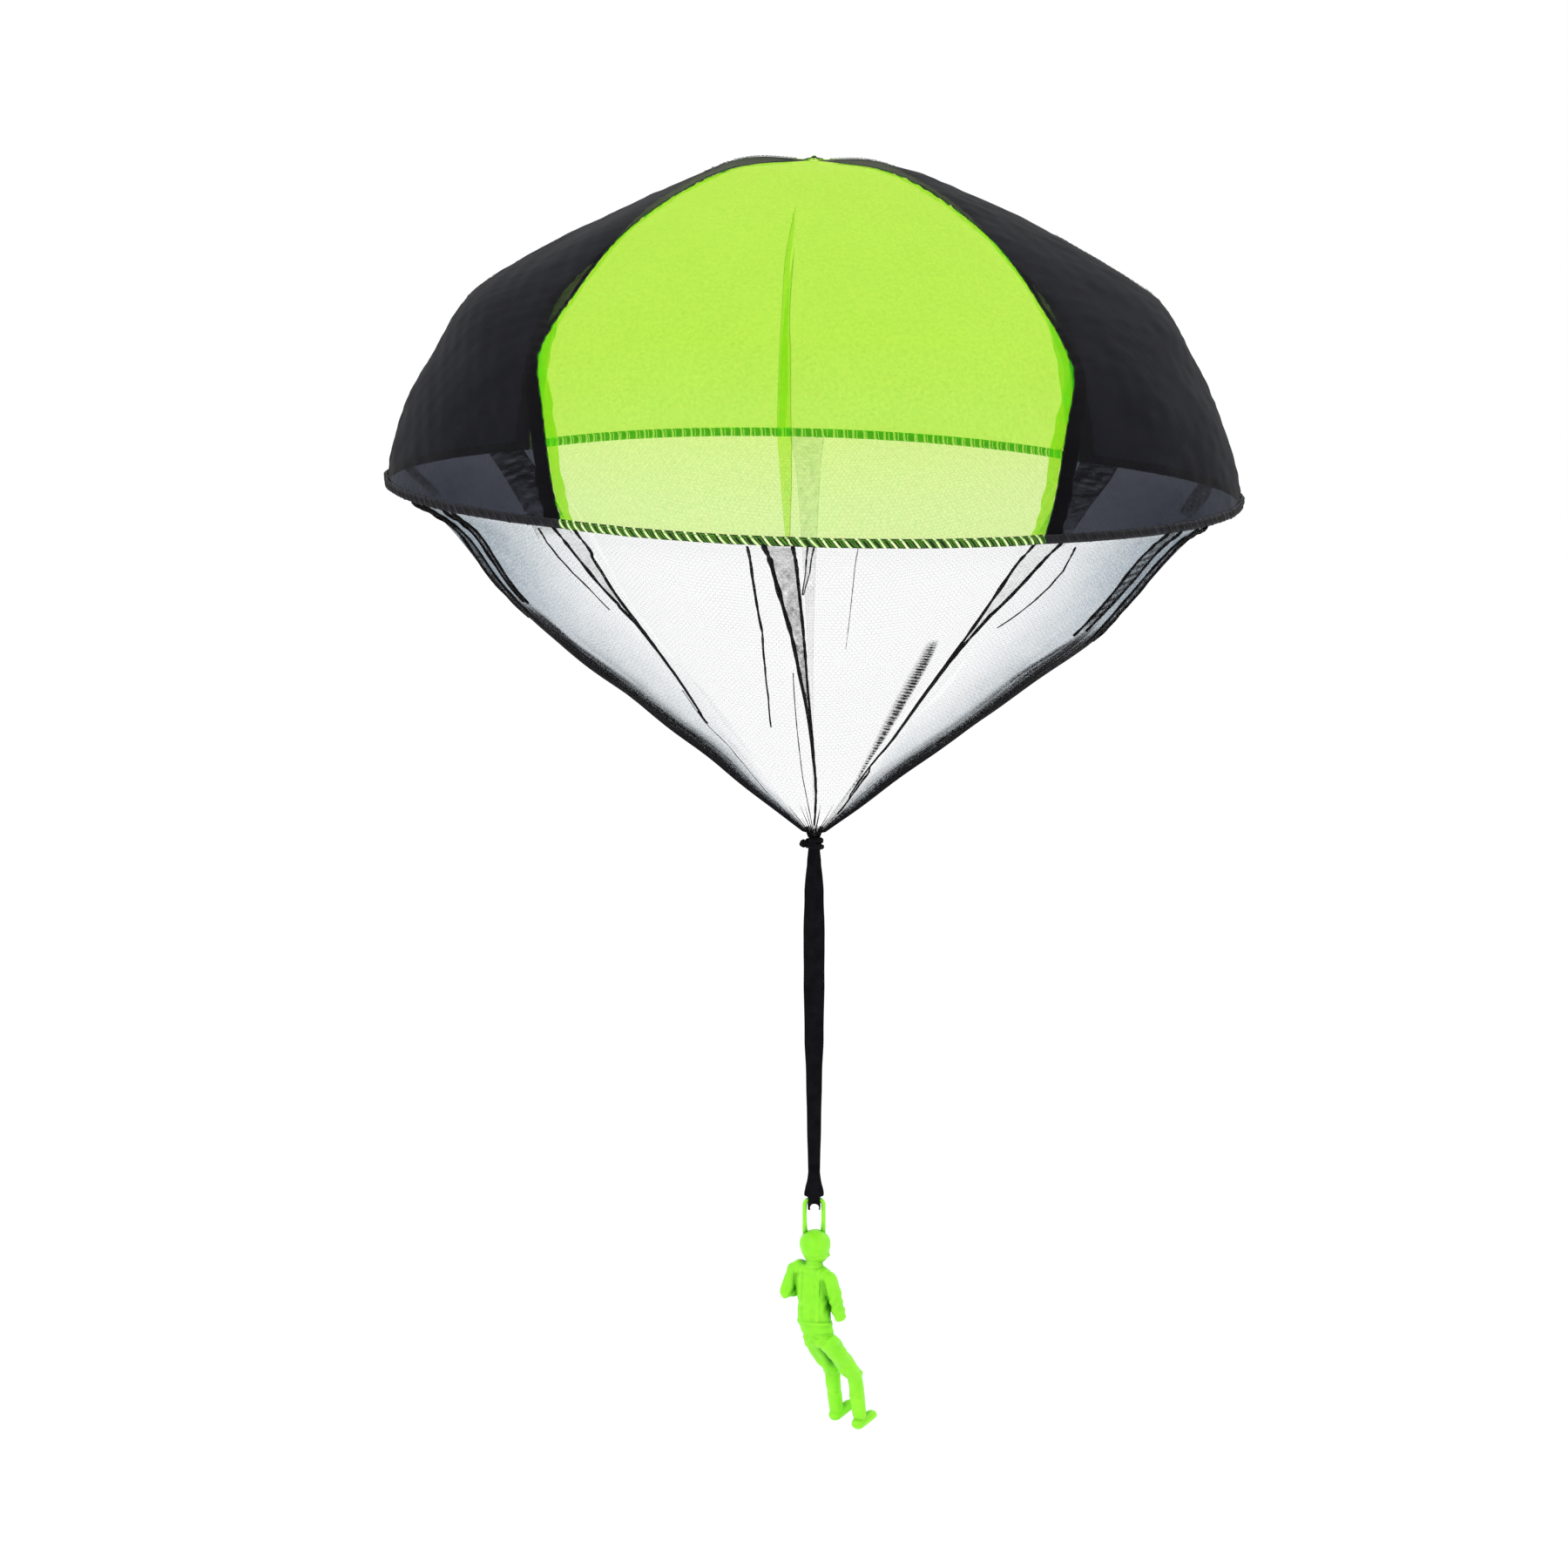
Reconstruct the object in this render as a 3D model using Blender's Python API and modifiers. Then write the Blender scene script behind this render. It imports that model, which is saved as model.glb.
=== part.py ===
"""Toy parachute: a sewn canopy of four panels, closed below by a pleated net that a knot
gathers, and a soft strap that carries a moulded figure by its ring.

Metres, +Z up. The origin is the tip of the crown stitch, where the toy is held up, and
everything hangs below it. The front, between the two front seams, faces -Y."""

import math

import bmesh
import bpy
import numpy as np
from mathutils import Matrix, Vector

# Driving sizes, in metres

CANOPY_RADIUS = 0.1875
CANOPY_HEIGHT = 0.1436
CLOTH = 0.0007
SEAM_ALLOWANCE = 0.0055
DART_WIDTH = 0.0034
DART_DEPTH = 0.0016
RIM_LEAN = math.radians(1.58)
CROWN_TIP = 0.0022
CROWN_RADIUS = 0.0046
CROWN_OVERLAP = 0.4
THREAD = 0.0008

HEM_HEIGHT = 0.0044
HEM_THICKNESS = 0.0020

NET_DEPTH = 0.1542
NET_CLOTH = 0.0005
NET_SAG = 0.0022
PLEAT_WIDTH = 0.0150
PLEAT_RISE = 0.0022
GATHER_RADIUS = 0.0034
GATHER_LENGTH = 0.0011

KNOT_RADIUS = 0.0033
KNOT_CORD = 0.00115
KNOT_GAP = 0.00045
KNOT_TURNS = 1.7
TAIL_LENGTH = 0.0068

STRAP_WIDTH = 0.0095
STRAP_THICKNESS = 0.0015
STRAP_FOLD = 0.0026
NECK_WIDTH = 0.0062
NECK_LENGTH = 0.0062
STRAP_LENGTH = 0.1364
LOOP_LENGTH = 0.0126
LOOP_WIDTH = 0.0088
LOOP_TIP = 0.0027
LOOP_CLOTH = 0.0008

RING_WIRE = 0.00095
RING_WIDTH = 0.0084
RING_CORNER = 0.0024
RING_HEIGHT = 0.0138
FIGURE_HEIGHT = 0.0928
FIGURE_TURN = math.radians(28)
FIGURE_LEAN = math.radians(0.4)

GAP = 0.0003
RUNNING_GAP = 0.00035

# Where each seam runs, in degrees about the axis from the front towards +X, at the crown
# and at the rim

SEAMS = {
    "front_left": (-56, -38),
    "front_right": (53, 34),
    "back_right": (139, 135),
    "back_left": (225, 229),
}
PANELS = {
    "front": ("front_left", "front_right", 0),
    "right": ("front_right", "back_right", 0),
    "back": ("back_right", "back_left", 0),
    "left": ("back_left", "front_left", -360),
}
PANEL_BEFORE = {"front": "left", "right": "front", "back": "right", "left": "back"}
PANEL_AFTER = {before: panel for panel, before in PANEL_BEFORE.items()}
GREEN_PANELS = ("front", "back")

# The meridians of the canopy from crown to rim: radius and height of a panel's centre line
# and of a seam, as shares of the canopy's, and how far the seam has turned to its rim angle

MERIDIANS = (
    (0.000, 1.000, 0.000, 1.000, 0.00),
    (0.203, 0.974, 0.203, 0.988, 0.00),
    (0.366, 0.888, 0.360, 0.926, 0.06),
    (0.550, 0.773, 0.550, 0.800, 0.18),
    (0.750, 0.628, 0.710, 0.630, 0.32),
    (0.830, 0.535, 0.790, 0.548, 0.42),
    (0.885, 0.405, 0.855, 0.460, 0.52),
    (0.945, 0.262, 0.893, 0.317, 0.72),
    (0.985, 0.098, 0.915, 0.118, 0.89),
    (1.000, 0.000, 0.920, 0.000, 1.00),
)

# How much higher than that each panel's middle billows, and how much its rim arches up, as
# shares of the canopy's height

BILLOW_SHARE = {"front": 0.0, "right": 0.0223, "back": 0.0, "left": -0.0139}
RIM_ARCH_SHARE = {"front": 0.0167, "right": 0.0, "back": 0.0, "left": 0.0}
DART_START = 0.36

# The net from hem to knot: share of the rim's radius, and share of the net's depth

NET_MERIDIAN = (
    (1.000, 0.000),
    (0.893, 0.080),
    (0.785, 0.255),
    (0.660, 0.395),
    (0.450, 0.580),
    (0.250, 0.760),
    (0.107, 0.900),
    (0.000, 1.000),
)
NET_FOLD_SHARE = {"front": 1.3, "right": 0.5, "back": 1.3, "left": 0.5}

CANOPY_ROWS = 14
CANOPY_COLUMNS = 4
NET_ROWS = 15
NET_COLUMNS = 5

# Levels that follow from the sizes

KNOT_PITCH = 2 * KNOT_CORD + KNOT_GAP
RIM_Z = -(CROWN_TIP + CANOPY_HEIGHT)
HEM_HALF = HEM_HEIGHT / 2
GATHER_Z = RIM_Z - NET_DEPTH
KNOT_TOP = GATHER_Z - 2 * GAP - GATHER_LENGTH
KNOT_Z = KNOT_TOP - KNOT_CORD - KNOT_TURNS * KNOT_PITCH / 2
KNOT_BOTTOM = KNOT_Z - KNOT_TURNS * KNOT_PITCH / 2 - KNOT_CORD
SIDE_SWING_Z = KNOT_BOTTOM - GAP - NECK_WIDTH / 2
FORE_SWING_Z = SIDE_SWING_Z - NECK_LENGTH
TWIST_Z = FORE_SWING_Z - STRAP_LENGTH
BAR_Z = TWIST_Z - LOOP_LENGTH
BAR_BORE = RING_WIRE + RUNNING_GAP
HEAD_TOP = BAR_Z - RING_HEIGHT

# Colours, as linear RGB

GREEN_CLOTH = (0.50, 0.87, 0.08)
BLACK_CLOTH = (0.018, 0.018, 0.022)
GREEN_THREAD = (0.40, 0.72, 0.10)
BLACK_THREAD = (0.012, 0.012, 0.014)
BLACK_NET = (0.05, 0.05, 0.06)
GREEN_PLASTIC = (0.30, 0.90, 0.03)


def clear_scene():
    for obj in list(bpy.data.objects):
        bpy.data.objects.remove(obj, do_unlink=True)


def make_collection(name):
    collection = bpy.data.collections.new(name)
    bpy.context.scene.collection.children.link(collection)
    return collection


def material(name, colour, roughness):
    made = bpy.data.materials.new(name)
    made.use_nodes = True
    shader = made.node_tree.nodes["Principled BSDF"]
    shader.inputs["Base Color"].default_value = (*colour, 1.0)
    shader.inputs["Roughness"].default_value = roughness
    shader.inputs["Metallic"].default_value = 0.0
    return made


def add_object(name, data, collection, surface=None):
    obj = bpy.data.objects.new(name, data)
    collection.objects.link(obj)
    if surface is not None:
        data.materials.append(surface)
    return obj


def shade(mesh, angle=40):
    mesh.shade_smooth()
    mesh.set_sharp_from_angle(angle=math.radians(angle))


def smooth_rows(table, places):
    """A table of hand-set rows, read as one smooth curve at these places from 0 to 1."""
    rows = np.asarray(table, float)
    rows = np.vstack([2 * rows[0] - rows[1], rows, 2 * rows[-1] - rows[-2]])
    at = np.clip(np.asarray(places, float), 0, 1) * (len(table) - 1)
    start = np.minimum(at.astype(int), len(table) - 2)
    t = (at - start)[:, None]
    before, first, second, after = (rows[start + k] for k in range(4))
    return 0.5 * (
        2 * first
        + (second - before) * t
        + (2 * before - 5 * first + 4 * second - after) * t**2
        + (3 * first - before - 3 * second + after) * t**3
    )


def ramp(value, start, end):
    """0 before start, 1 after end, and smooth between."""
    t = np.clip((value - start) / (end - start), 0, 1)
    return t * t * (3 - 2 * t)


def around(radius, angle, z):
    """A point at this radius and angle from the front, on the canopy as it leans."""
    x = radius * math.sin(angle)
    return Vector((x, -radius * math.cos(angle), z - math.tan(RIM_LEAN) * x))


# The sewn canopy


def seam_angles(seam, turned):
    crown, rim = SEAMS[seam]
    return np.radians(crown + (rim - crown) * turned)


def panel_edges(panel, turned):
    """The angles of a panel's two seams, from one side to the other."""
    first, last, back = PANELS[panel]
    return seam_angles(first, turned) + math.radians(back), seam_angles(last, turned)


def canopy_point(panel, place, across, inset=0.0):
    """A point of the canopy's outer face, place from crown to rim and across from seam to
    seam, both from 0 to 1, or the same point moved inwards."""
    row = smooth_rows(MERIDIANS, [place])[0]
    first, last = panel_edges(panel, row[4])
    centre = math.sin(math.pi * across)
    radius = (row[2] + (row[0] - row[2]) * centre) * CANOPY_RADIUS
    raised = BILLOW_SHARE[panel] * 4 * place * (1 - place) + RIM_ARCH_SHARE[panel] * place**3
    height = (row[3] + (row[1] - row[3]) * centre + raised * centre) * CANOPY_HEIGHT
    off_dart = abs(across - 0.5) * (last - first) * radius
    fold = max(0.0, 1 - off_dart / DART_WIDTH) * DART_DEPTH
    radius -= fold * float(ramp(place, DART_START, 1.0))
    return around(radius - inset, first + (last - first) * across, RIM_Z + height - inset)


def canopy_normal(panel, place, across):
    """The way that the cloth faces there, from its slopes down and across."""
    step = 0.01
    high = canopy_point(panel, max(place - step, 0.0), across)
    low = canopy_point(panel, min(place + step, 1.0), across)
    near = canopy_point(panel, place, max(across - step, 0.0))
    far = canopy_point(panel, place, min(across + step, 1.0))
    return (far - near).cross(high - low).normalized()


def crease(panel, place):
    """Half the angle that the cloth turns through at the seam on a panel's first side."""
    before = PANEL_BEFORE[panel]
    return canopy_normal(panel, place, 0.0).angle(canopy_normal(before, place, 1.0)) / 2


def seam_trim(panel, place):
    """How far a panel stops short of its first seam, so that the inner faces of the two
    panels stay clear of each other."""
    return GAP / 2 + CLOTH * math.tan(crease(panel, place))


def panel_arc(panel, place):
    """The panel's width along the cloth, at one place from crown to rim."""
    steps = [canopy_point(panel, place, step / 8) for step in range(9)]
    return sum((b - a).length for a, b in zip(steps, steps[1:]))


def canopy_columns(panel, place):
    """(place across, layers of cloth) of each column: the panel's edges, its two folded seam
    allowances, the dart, and even steps between."""
    arc = panel_arc(panel, place)
    first = seam_trim(panel, place) / arc
    last = seam_trim(PANEL_AFTER[panel], place) / arc
    fold = min(SEAM_ALLOWANCE / arc, 0.16)
    step = min(CLOTH / arc, 0.03)
    dart = min(DART_WIDTH / arc, 0.08)
    inner = np.linspace(fold + step, 0.5 - dart, CANOPY_COLUMNS)
    sewn = 1 + float(ramp(place, DART_START, 0.8))
    side = [(0.35 * fold, 2), (fold, 2)] + [(x, 1) for x in inner] + [(0.5 - 0.4 * dart, sewn)]
    mirrored = [(1 - x, layers) for x, layers in reversed(side)]
    return [(first, 1)] + side + [(0.5, sewn)] + mirrored + [(1 - last, 1)]


def place_above_rim(panel, across, height):
    """The place at which the cloth lies this far above the rim."""
    low, high = 0.5, 1.0
    for _ in range(24):
        middle = (low + high) / 2
        lifted = canopy_point(panel, middle, across) - rim_point(panel, across)
        if lifted.z > height:
            low = middle
        else:
            high = middle
    return low


def canopy_places(panel, across):
    """The rows' places down one column, from under the crown stitch to above the hem."""
    start = CROWN_OVERLAP * CROWN_RADIUS / (CANOPY_RADIUS * MERIDIANS[1][0]) / (len(MERIDIANS) - 1)
    end = place_above_rim(panel, across, HEM_HALF + GAP)
    return np.linspace(start, end, CANOPY_ROWS + 1)


def canopy_mesh(name, panel):
    """The open outer face of a panel, with its layers of cloth in a vertex group."""
    mesh = bmesh.new()
    layer = mesh.verts.layers.deform.verify()
    rows = []
    for index in range(CANOPY_ROWS + 1):
        row = []
        for across, layers in canopy_columns(panel, canopy_places(panel, 0.5)[index]):
            place = canopy_places(panel, across)[index]
            vert = mesh.verts.new(canopy_point(panel, place, across))
            vert[layer][0] = layers - 1
            row.append(vert)
        rows.append(row)
    face_grid(mesh, rows)
    data = bpy.data.meshes.new(name)
    mesh.to_mesh(data)
    mesh.free()
    return data


def face_grid(mesh, rows):
    for upper, lower in zip(rows, rows[1:]):
        for k in range(len(upper) - 1):
            mesh.faces.new((upper[k], lower[k], lower[k + 1], upper[k + 1]))


def thicken(obj, thickness, thinnest=None):
    """Solidify inwards; with thinnest, only the vertex group takes the full thickness."""
    solid = obj.modifiers.new("cloth", "SOLIDIFY")
    solid.thickness = thickness
    solid.offset = -1.0
    solid.use_rim = True
    if thinnest is not None:
        solid.vertex_group = obj.vertex_groups[0].name
        solid.thickness_vertex_group = thinnest


def build_canopy(collection, cloths):
    for panel in PANELS:
        name = f"canopy_{panel}"
        data = canopy_mesh(name, panel)
        obj = add_object(name, data, collection, cloths["green" if panel in GREEN_PANELS else "black"])
        obj.vertex_groups.new(name="two_layers")
        thicken(obj, 2 * CLOTH, 0.5)
        shade(data, 60)


def tube(name, points, radius, collection, surface, resolution=1):
    """A round cord along these points, with closed ends."""
    curve = bpy.data.curves.new(name, "CURVE")
    curve.dimensions = "3D"
    curve.bevel_depth = radius
    curve.bevel_resolution = resolution
    curve.use_fill_caps = True
    spline = curve.splines.new("POLY")
    spline.points.add(len(points) - 1)
    for point, place in zip(spline.points, points):
        point.co = (*place, 1.0)
    return add_object(name, curve, collection, surface)


def build_seams(collection, threads):
    """The stitched thread of each seam, under the line where two panels meet."""
    for panel in PANELS:
        places = canopy_places(panel, 0.0)[1:-1]
        points = []
        for place in places:
            under = (1.3 * CLOTH + GAP + THREAD / 2) / math.cos(crease(panel, place))
            points.append(canopy_point(panel, place, 0.0, under))
        tube(f"seam_thread_{PANELS[panel][0]}", points, THREAD / 2, collection, threads["black"])


def rim_point(panel, across):
    return canopy_point(panel, 1.0, across)


def band(name, points, half_height, half_thickness, collection, surface, sides=8):
    """A closed band along level points: the same rounded section stands square to the way
    at each of them."""
    mesh = bmesh.new()
    rings = []
    for index, point in enumerate(points):
        before = points[max(index - 1, 0)]
        after = points[min(index + 1, len(points) - 1)]
        along = (after - before).normalized()
        outward = along.cross(Vector((0, 0, 1))).normalized()
        ring = []
        for side in range(sides):
            turn = 2 * math.pi * (side + 0.5) / sides
            out = math.copysign(abs(math.cos(turn)) ** 0.6, math.cos(turn)) * half_thickness
            up = math.copysign(abs(math.sin(turn)) ** 0.6, math.sin(turn)) * half_height
            ring.append(mesh.verts.new(point + outward * out + Vector((0, 0, up))))
        rings.append(ring)
    for first, second in zip(rings, rings[1:]):
        for k in range(sides):
            after = (k + 1) % sides
            mesh.faces.new((first[k], first[after], second[after], second[k]))
    mesh.faces.new(list(reversed(rings[0])))
    mesh.faces.new(rings[-1])
    bmesh.ops.recalc_face_normals(mesh, faces=mesh.faces)
    data = bpy.data.meshes.new(name)
    mesh.to_mesh(data)
    mesh.free()
    shade(data, 50)
    return add_object(name, data, collection, surface)


def build_hems(collection, threads):
    steps = 22
    for panel in PANELS:
        edge = GAP / 2 / panel_arc(panel, 1.0)
        points = [rim_point(panel, across) for across in np.linspace(edge, 1 - edge, steps + 1)]
        colour = "green" if panel in GREEN_PANELS else "black"
        band(f"hem_{panel}", points, HEM_HALF, HEM_THICKNESS / 2, collection, threads[colour])


def build_crown(collection, threads):
    """The tack over the panels' tips: a turned cap that rises to a point."""
    base = -CROWN_TIP + GAP
    profile = (
        (CROWN_RADIUS * 0.04, 0.0),
        (CROWN_RADIUS * 0.14, -CROWN_TIP * 0.12),
        (CROWN_RADIUS * 0.20, -CROWN_TIP * 0.50),
        (CROWN_RADIUS * 0.50, -CROWN_TIP * 0.74),
        (CROWN_RADIUS, base + GAP),
        (CROWN_RADIUS, base),
    )
    mesh = bmesh.new()
    verts = [mesh.verts.new((x, 0, z)) for x, z in ((0, 0.0), *profile, (0, base))]
    for a, b in zip(verts, verts[1:]):
        mesh.edges.new((a, b))
    data = bpy.data.meshes.new("crown_stitch")
    mesh.to_mesh(data)
    mesh.free()
    obj = add_object("crown_stitch", data, collection, threads["green"])
    screw = obj.modifiers.new("turn", "SCREW")
    screw.axis = "Z"
    screw.steps = 20
    screw.render_steps = 20
    screw.use_merge_vertices = True
    screw.merge_threshold = 0.00005
    screw.use_smooth_shade = True


# The net


def net_rows():
    """The net's places from hem to knot, closer together near the hem."""
    return np.linspace(0, 1, NET_ROWS + 1) ** 1.15


def net_point(panel, place, across, rise=0.0):
    """A point of the net below a panel: place from hem to knot, across from seam to seam,
    raised outwards by rise where a pleat lies on it."""
    share, depth = smooth_rows(NET_MERIDIAN, [place])[0]
    rim = rim_point(panel, across)
    first, last = panel_edges(panel, 1.0)
    angle = first + (last - first) * across
    radius = GATHER_RADIUS + (math.hypot(rim.x, rim.y) - GATHER_RADIUS) * share
    arch = RIM_ARCH_SHARE[panel] * CANOPY_HEIGHT * math.sin(math.pi * across) * (1 - depth)
    sag = NET_SAG * math.sin(2 * math.pi * across) ** 2 * 4 * share * (1 - share)
    below = HEM_HALF + GAP + NET_CLOTH
    slope = math.hypot(CANOPY_RADIUS, NET_DEPTH)
    z = RIM_Z + arch - below - depth * (NET_DEPTH - below) - rise * CANOPY_RADIUS / slope
    return around(radius - sag + rise * NET_DEPTH / slope, angle, z)


def net_arc(panel, place):
    steps = [net_point(panel, place, step / 8) for step in range(9)]
    return sum((b - a).length for a, b in zip(steps, steps[1:]))


def pleat(place):
    """Half the width of a pleat, and how far it stands out, at this place down the net."""
    narrowing = 1 - 0.62 * float(ramp(place, 0.0, 0.30)) - 0.20 * float(ramp(place, 0.30, 0.60))
    swelling = 0.5 + 0.5 * float(ramp(place, 0.0, 0.15)) - 0.55 * float(ramp(place, 0.25, 0.9))
    return PLEAT_WIDTH / 2 * narrowing, PLEAT_RISE * swelling


def net_columns(panel, place):
    """(place across, rise) of each column: a pleat on each seam and one on the dart."""
    arc = net_arc(panel, place)
    width, rise = pleat(place)
    half = min(width / arc, 0.085)
    rise = min(rise, half * arc * 0.5)
    edge = GAP / 2 / arc
    side = half * NET_FOLD_SHARE[panel]
    quarter = [(edge, rise), (0.45 * side, rise), (side, 0.0)]
    between = [(x, 0.0) for x in np.linspace(side, 0.5 - half, NET_COLUMNS + 1)[1:-1]]
    middle = [(0.5 - half, 0.0), (0.5 - 0.45 * half, rise), (0.5, rise)]
    left = quarter + between + middle
    return left + [(1 - x, height) for x, height in reversed(left[:-1])]


def build_net(collection, surface):
    for panel in PANELS:
        name = f"net_{panel}"
        mesh = bmesh.new()
        rows = []
        for place in net_rows():
            row = [
                mesh.verts.new(net_point(panel, place, across, rise))
                for across, rise in net_columns(panel, place)
            ]
            rows.append(row)
        face_grid(mesh, rows)
        data = bpy.data.meshes.new(name)
        mesh.to_mesh(data)
        mesh.free()
        obj = add_object(name, data, collection, surface)
        thicken(obj, NET_CLOTH)
        shade(data, 60)


def build_gather(collection, surface):
    """The net's gathered end: a fluted neck that narrows to the core of the knot."""
    flutes = 16
    core = KNOT_RADIUS - KNOT_CORD - GAP
    levels = (
        (GATHER_Z - GAP, GATHER_RADIUS * 0.92, 0.10),
        (GATHER_Z - GAP - GATHER_LENGTH / 2, GATHER_RADIUS * 0.78, 0.12),
        (KNOT_TOP + GAP, core, 0.0),
        (KNOT_BOTTOM, core, 0.0),
    )
    mesh = bmesh.new()
    rings = []
    for z, radius, depth in levels:
        ring = []
        for k in range(2 * flutes):
            turn = math.pi * k / flutes
            at = radius * (1 - depth * (k % 2))
            ring.append(mesh.verts.new((at * math.sin(turn), -at * math.cos(turn), z)))
        rings.append(ring)
    for first, second in zip(rings, rings[1:]):
        for k in range(2 * flutes):
            after = (k + 1) % (2 * flutes)
            mesh.faces.new((first[k], second[k], second[after], first[after]))
    mesh.faces.new(rings[0])
    mesh.faces.new(list(reversed(rings[-1])))
    bmesh.ops.recalc_face_normals(mesh, faces=mesh.faces)
    data = bpy.data.meshes.new("net_gather")
    mesh.to_mesh(data)
    mesh.free()
    shade(data, 50)
    add_object("net_gather", data, collection, surface)


# The knot and the strap


def least_gap(points, radius, apart):
    """The least gap of a wound cord to itself, between points at least this many apart."""
    places = np.array(points)
    gaps = np.linalg.norm(places[:, None] - places[None], axis=2) - 2 * radius
    first, second = np.indices(gaps.shape)
    return gaps[second - first >= apart].min()


def build_knot(collection, surface):
    """The wrap is one cord wound down round the gathered neck, and its loose end stands
    out to the left."""
    steps = 20
    count = int(steps * KNOT_TURNS) + 1
    points = []
    for k in range(count):
        share = k / (count - 1)
        turn = math.pi * 1.5 + 2 * math.pi * KNOT_TURNS * (share - 0.5)
        z = KNOT_Z + KNOT_TURNS * KNOT_PITCH * (0.5 - share)
        points.append(Vector((KNOT_RADIUS * math.sin(turn), -KNOT_RADIUS * math.cos(turn), z)))
    tube("knot", points, KNOT_CORD, collection, surface, 2)
    print("least gap in the knot", least_gap(points, KNOT_CORD, steps // 2))
    thin = 0.75 * KNOT_CORD
    out = KNOT_RADIUS + KNOT_CORD + GAP + thin
    spread = TAIL_LENGTH / out
    tail = []
    for angle in np.linspace(-math.pi / 2 - spread / 2, -math.pi / 2 + spread / 2, 7):
        tail.append(Vector((out * math.sin(angle), -out * math.cos(angle), KNOT_Z)))
    tube("knot_tail", tail, thin, collection, surface, 2)


def rounded_section(mesh, z, width, thickness, points=4):
    """One ring of a strap: a flat outline with round ends, level at z."""
    radius = min(thickness / 2, width / 2)
    ring = []
    for side, centre in ((1, width / 2 - radius), (-1, radius - width / 2)):
        for k in range(points + 1):
            turn = math.pi * (k / points - 0.5)
            x = centre + side * radius * math.cos(turn)
            ring.append(mesh.verts.new((x, side * radius * math.sin(turn), z)))
    return ring


def loft_strap(name, levels, collection, surface):
    """A strap through levels of (z, width, thickness), with flat ends."""
    mesh = bmesh.new()
    rings = [rounded_section(mesh, *level) for level in levels]
    size = len(rings[0])
    for first, second in zip(rings, rings[1:]):
        for k in range(size):
            after = (k + 1) % size
            mesh.faces.new((first[k], second[k], second[after], first[after]))
    mesh.faces.new(rings[0])
    mesh.faces.new(list(reversed(rings[-1])))
    bmesh.ops.recalc_face_normals(mesh, faces=mesh.faces)
    data = bpy.data.meshes.new(name)
    mesh.to_mesh(data)
    mesh.free()
    shade(data, 40)
    return add_object(name, data, collection, surface)


def round_end(centre, radius, width_of, thickness_of, upward, steps=5):
    """Levels that close an end in an arc about its joint's axis."""
    levels = []
    for k in range(steps):
        rise = math.sin(math.pi / 2 * (steps - k - 0.25) / steps)
        run = math.sqrt(1 - rise * rise)
        levels.append((centre + upward * radius * rise, width_of(run), thickness_of(run)))
    return levels


def build_strap_neck(collection, surface):
    """The bunched top of the strap. Its round top turns under the knot."""
    top = round_end(
        SIDE_SWING_Z,
        NECK_WIDTH / 2,
        lambda run: NECK_WIDTH * run,
        lambda run: min(STRAP_FOLD, NECK_WIDTH * run),
        1,
    )
    bottom = FORE_SWING_Z + STRAP_THICKNESS / 2 + GAP
    levels = top + [
        (SIDE_SWING_Z, NECK_WIDTH, STRAP_FOLD),
        ((SIDE_SWING_Z + bottom) / 2, NECK_WIDTH * 1.06, (STRAP_FOLD + STRAP_THICKNESS) / 2),
        (bottom, NECK_WIDTH * 1.18, STRAP_THICKNESS),
    ]
    return loft_strap("strap_neck", levels, collection, surface)


def build_strap(collection, surface):
    """The flat band. Its round top edge turns on the neck, and towards its lower end it is
    folded lengthwise, narrower and thicker."""
    run = FORE_SWING_Z - TWIST_Z - GAP / 2
    widths = (
        (0.000, NECK_WIDTH * 1.18, STRAP_THICKNESS),
        (0.060, STRAP_WIDTH * 0.90, STRAP_THICKNESS),
        (0.200, STRAP_WIDTH, STRAP_THICKNESS),
        (0.380, STRAP_WIDTH * 0.98, STRAP_THICKNESS),
        (0.560, STRAP_WIDTH * 0.89, STRAP_THICKNESS),
        (0.700, STRAP_WIDTH * 0.70, STRAP_THICKNESS * 1.25),
        (0.880, STRAP_WIDTH * 0.61, STRAP_FOLD * 0.9),
        (1.000, STRAP_WIDTH * 0.51, STRAP_FOLD),
    )
    top = round_end(
        FORE_SWING_Z,
        STRAP_THICKNESS / 2,
        lambda run: NECK_WIDTH * 1.18,
        lambda run: STRAP_THICKNESS * run,
        1,
        3,
    )
    levels = top + [(FORE_SWING_Z - run * share, width, thick) for share, width, thick in widths]
    return loft_strap("strap", levels, collection, surface)


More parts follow.
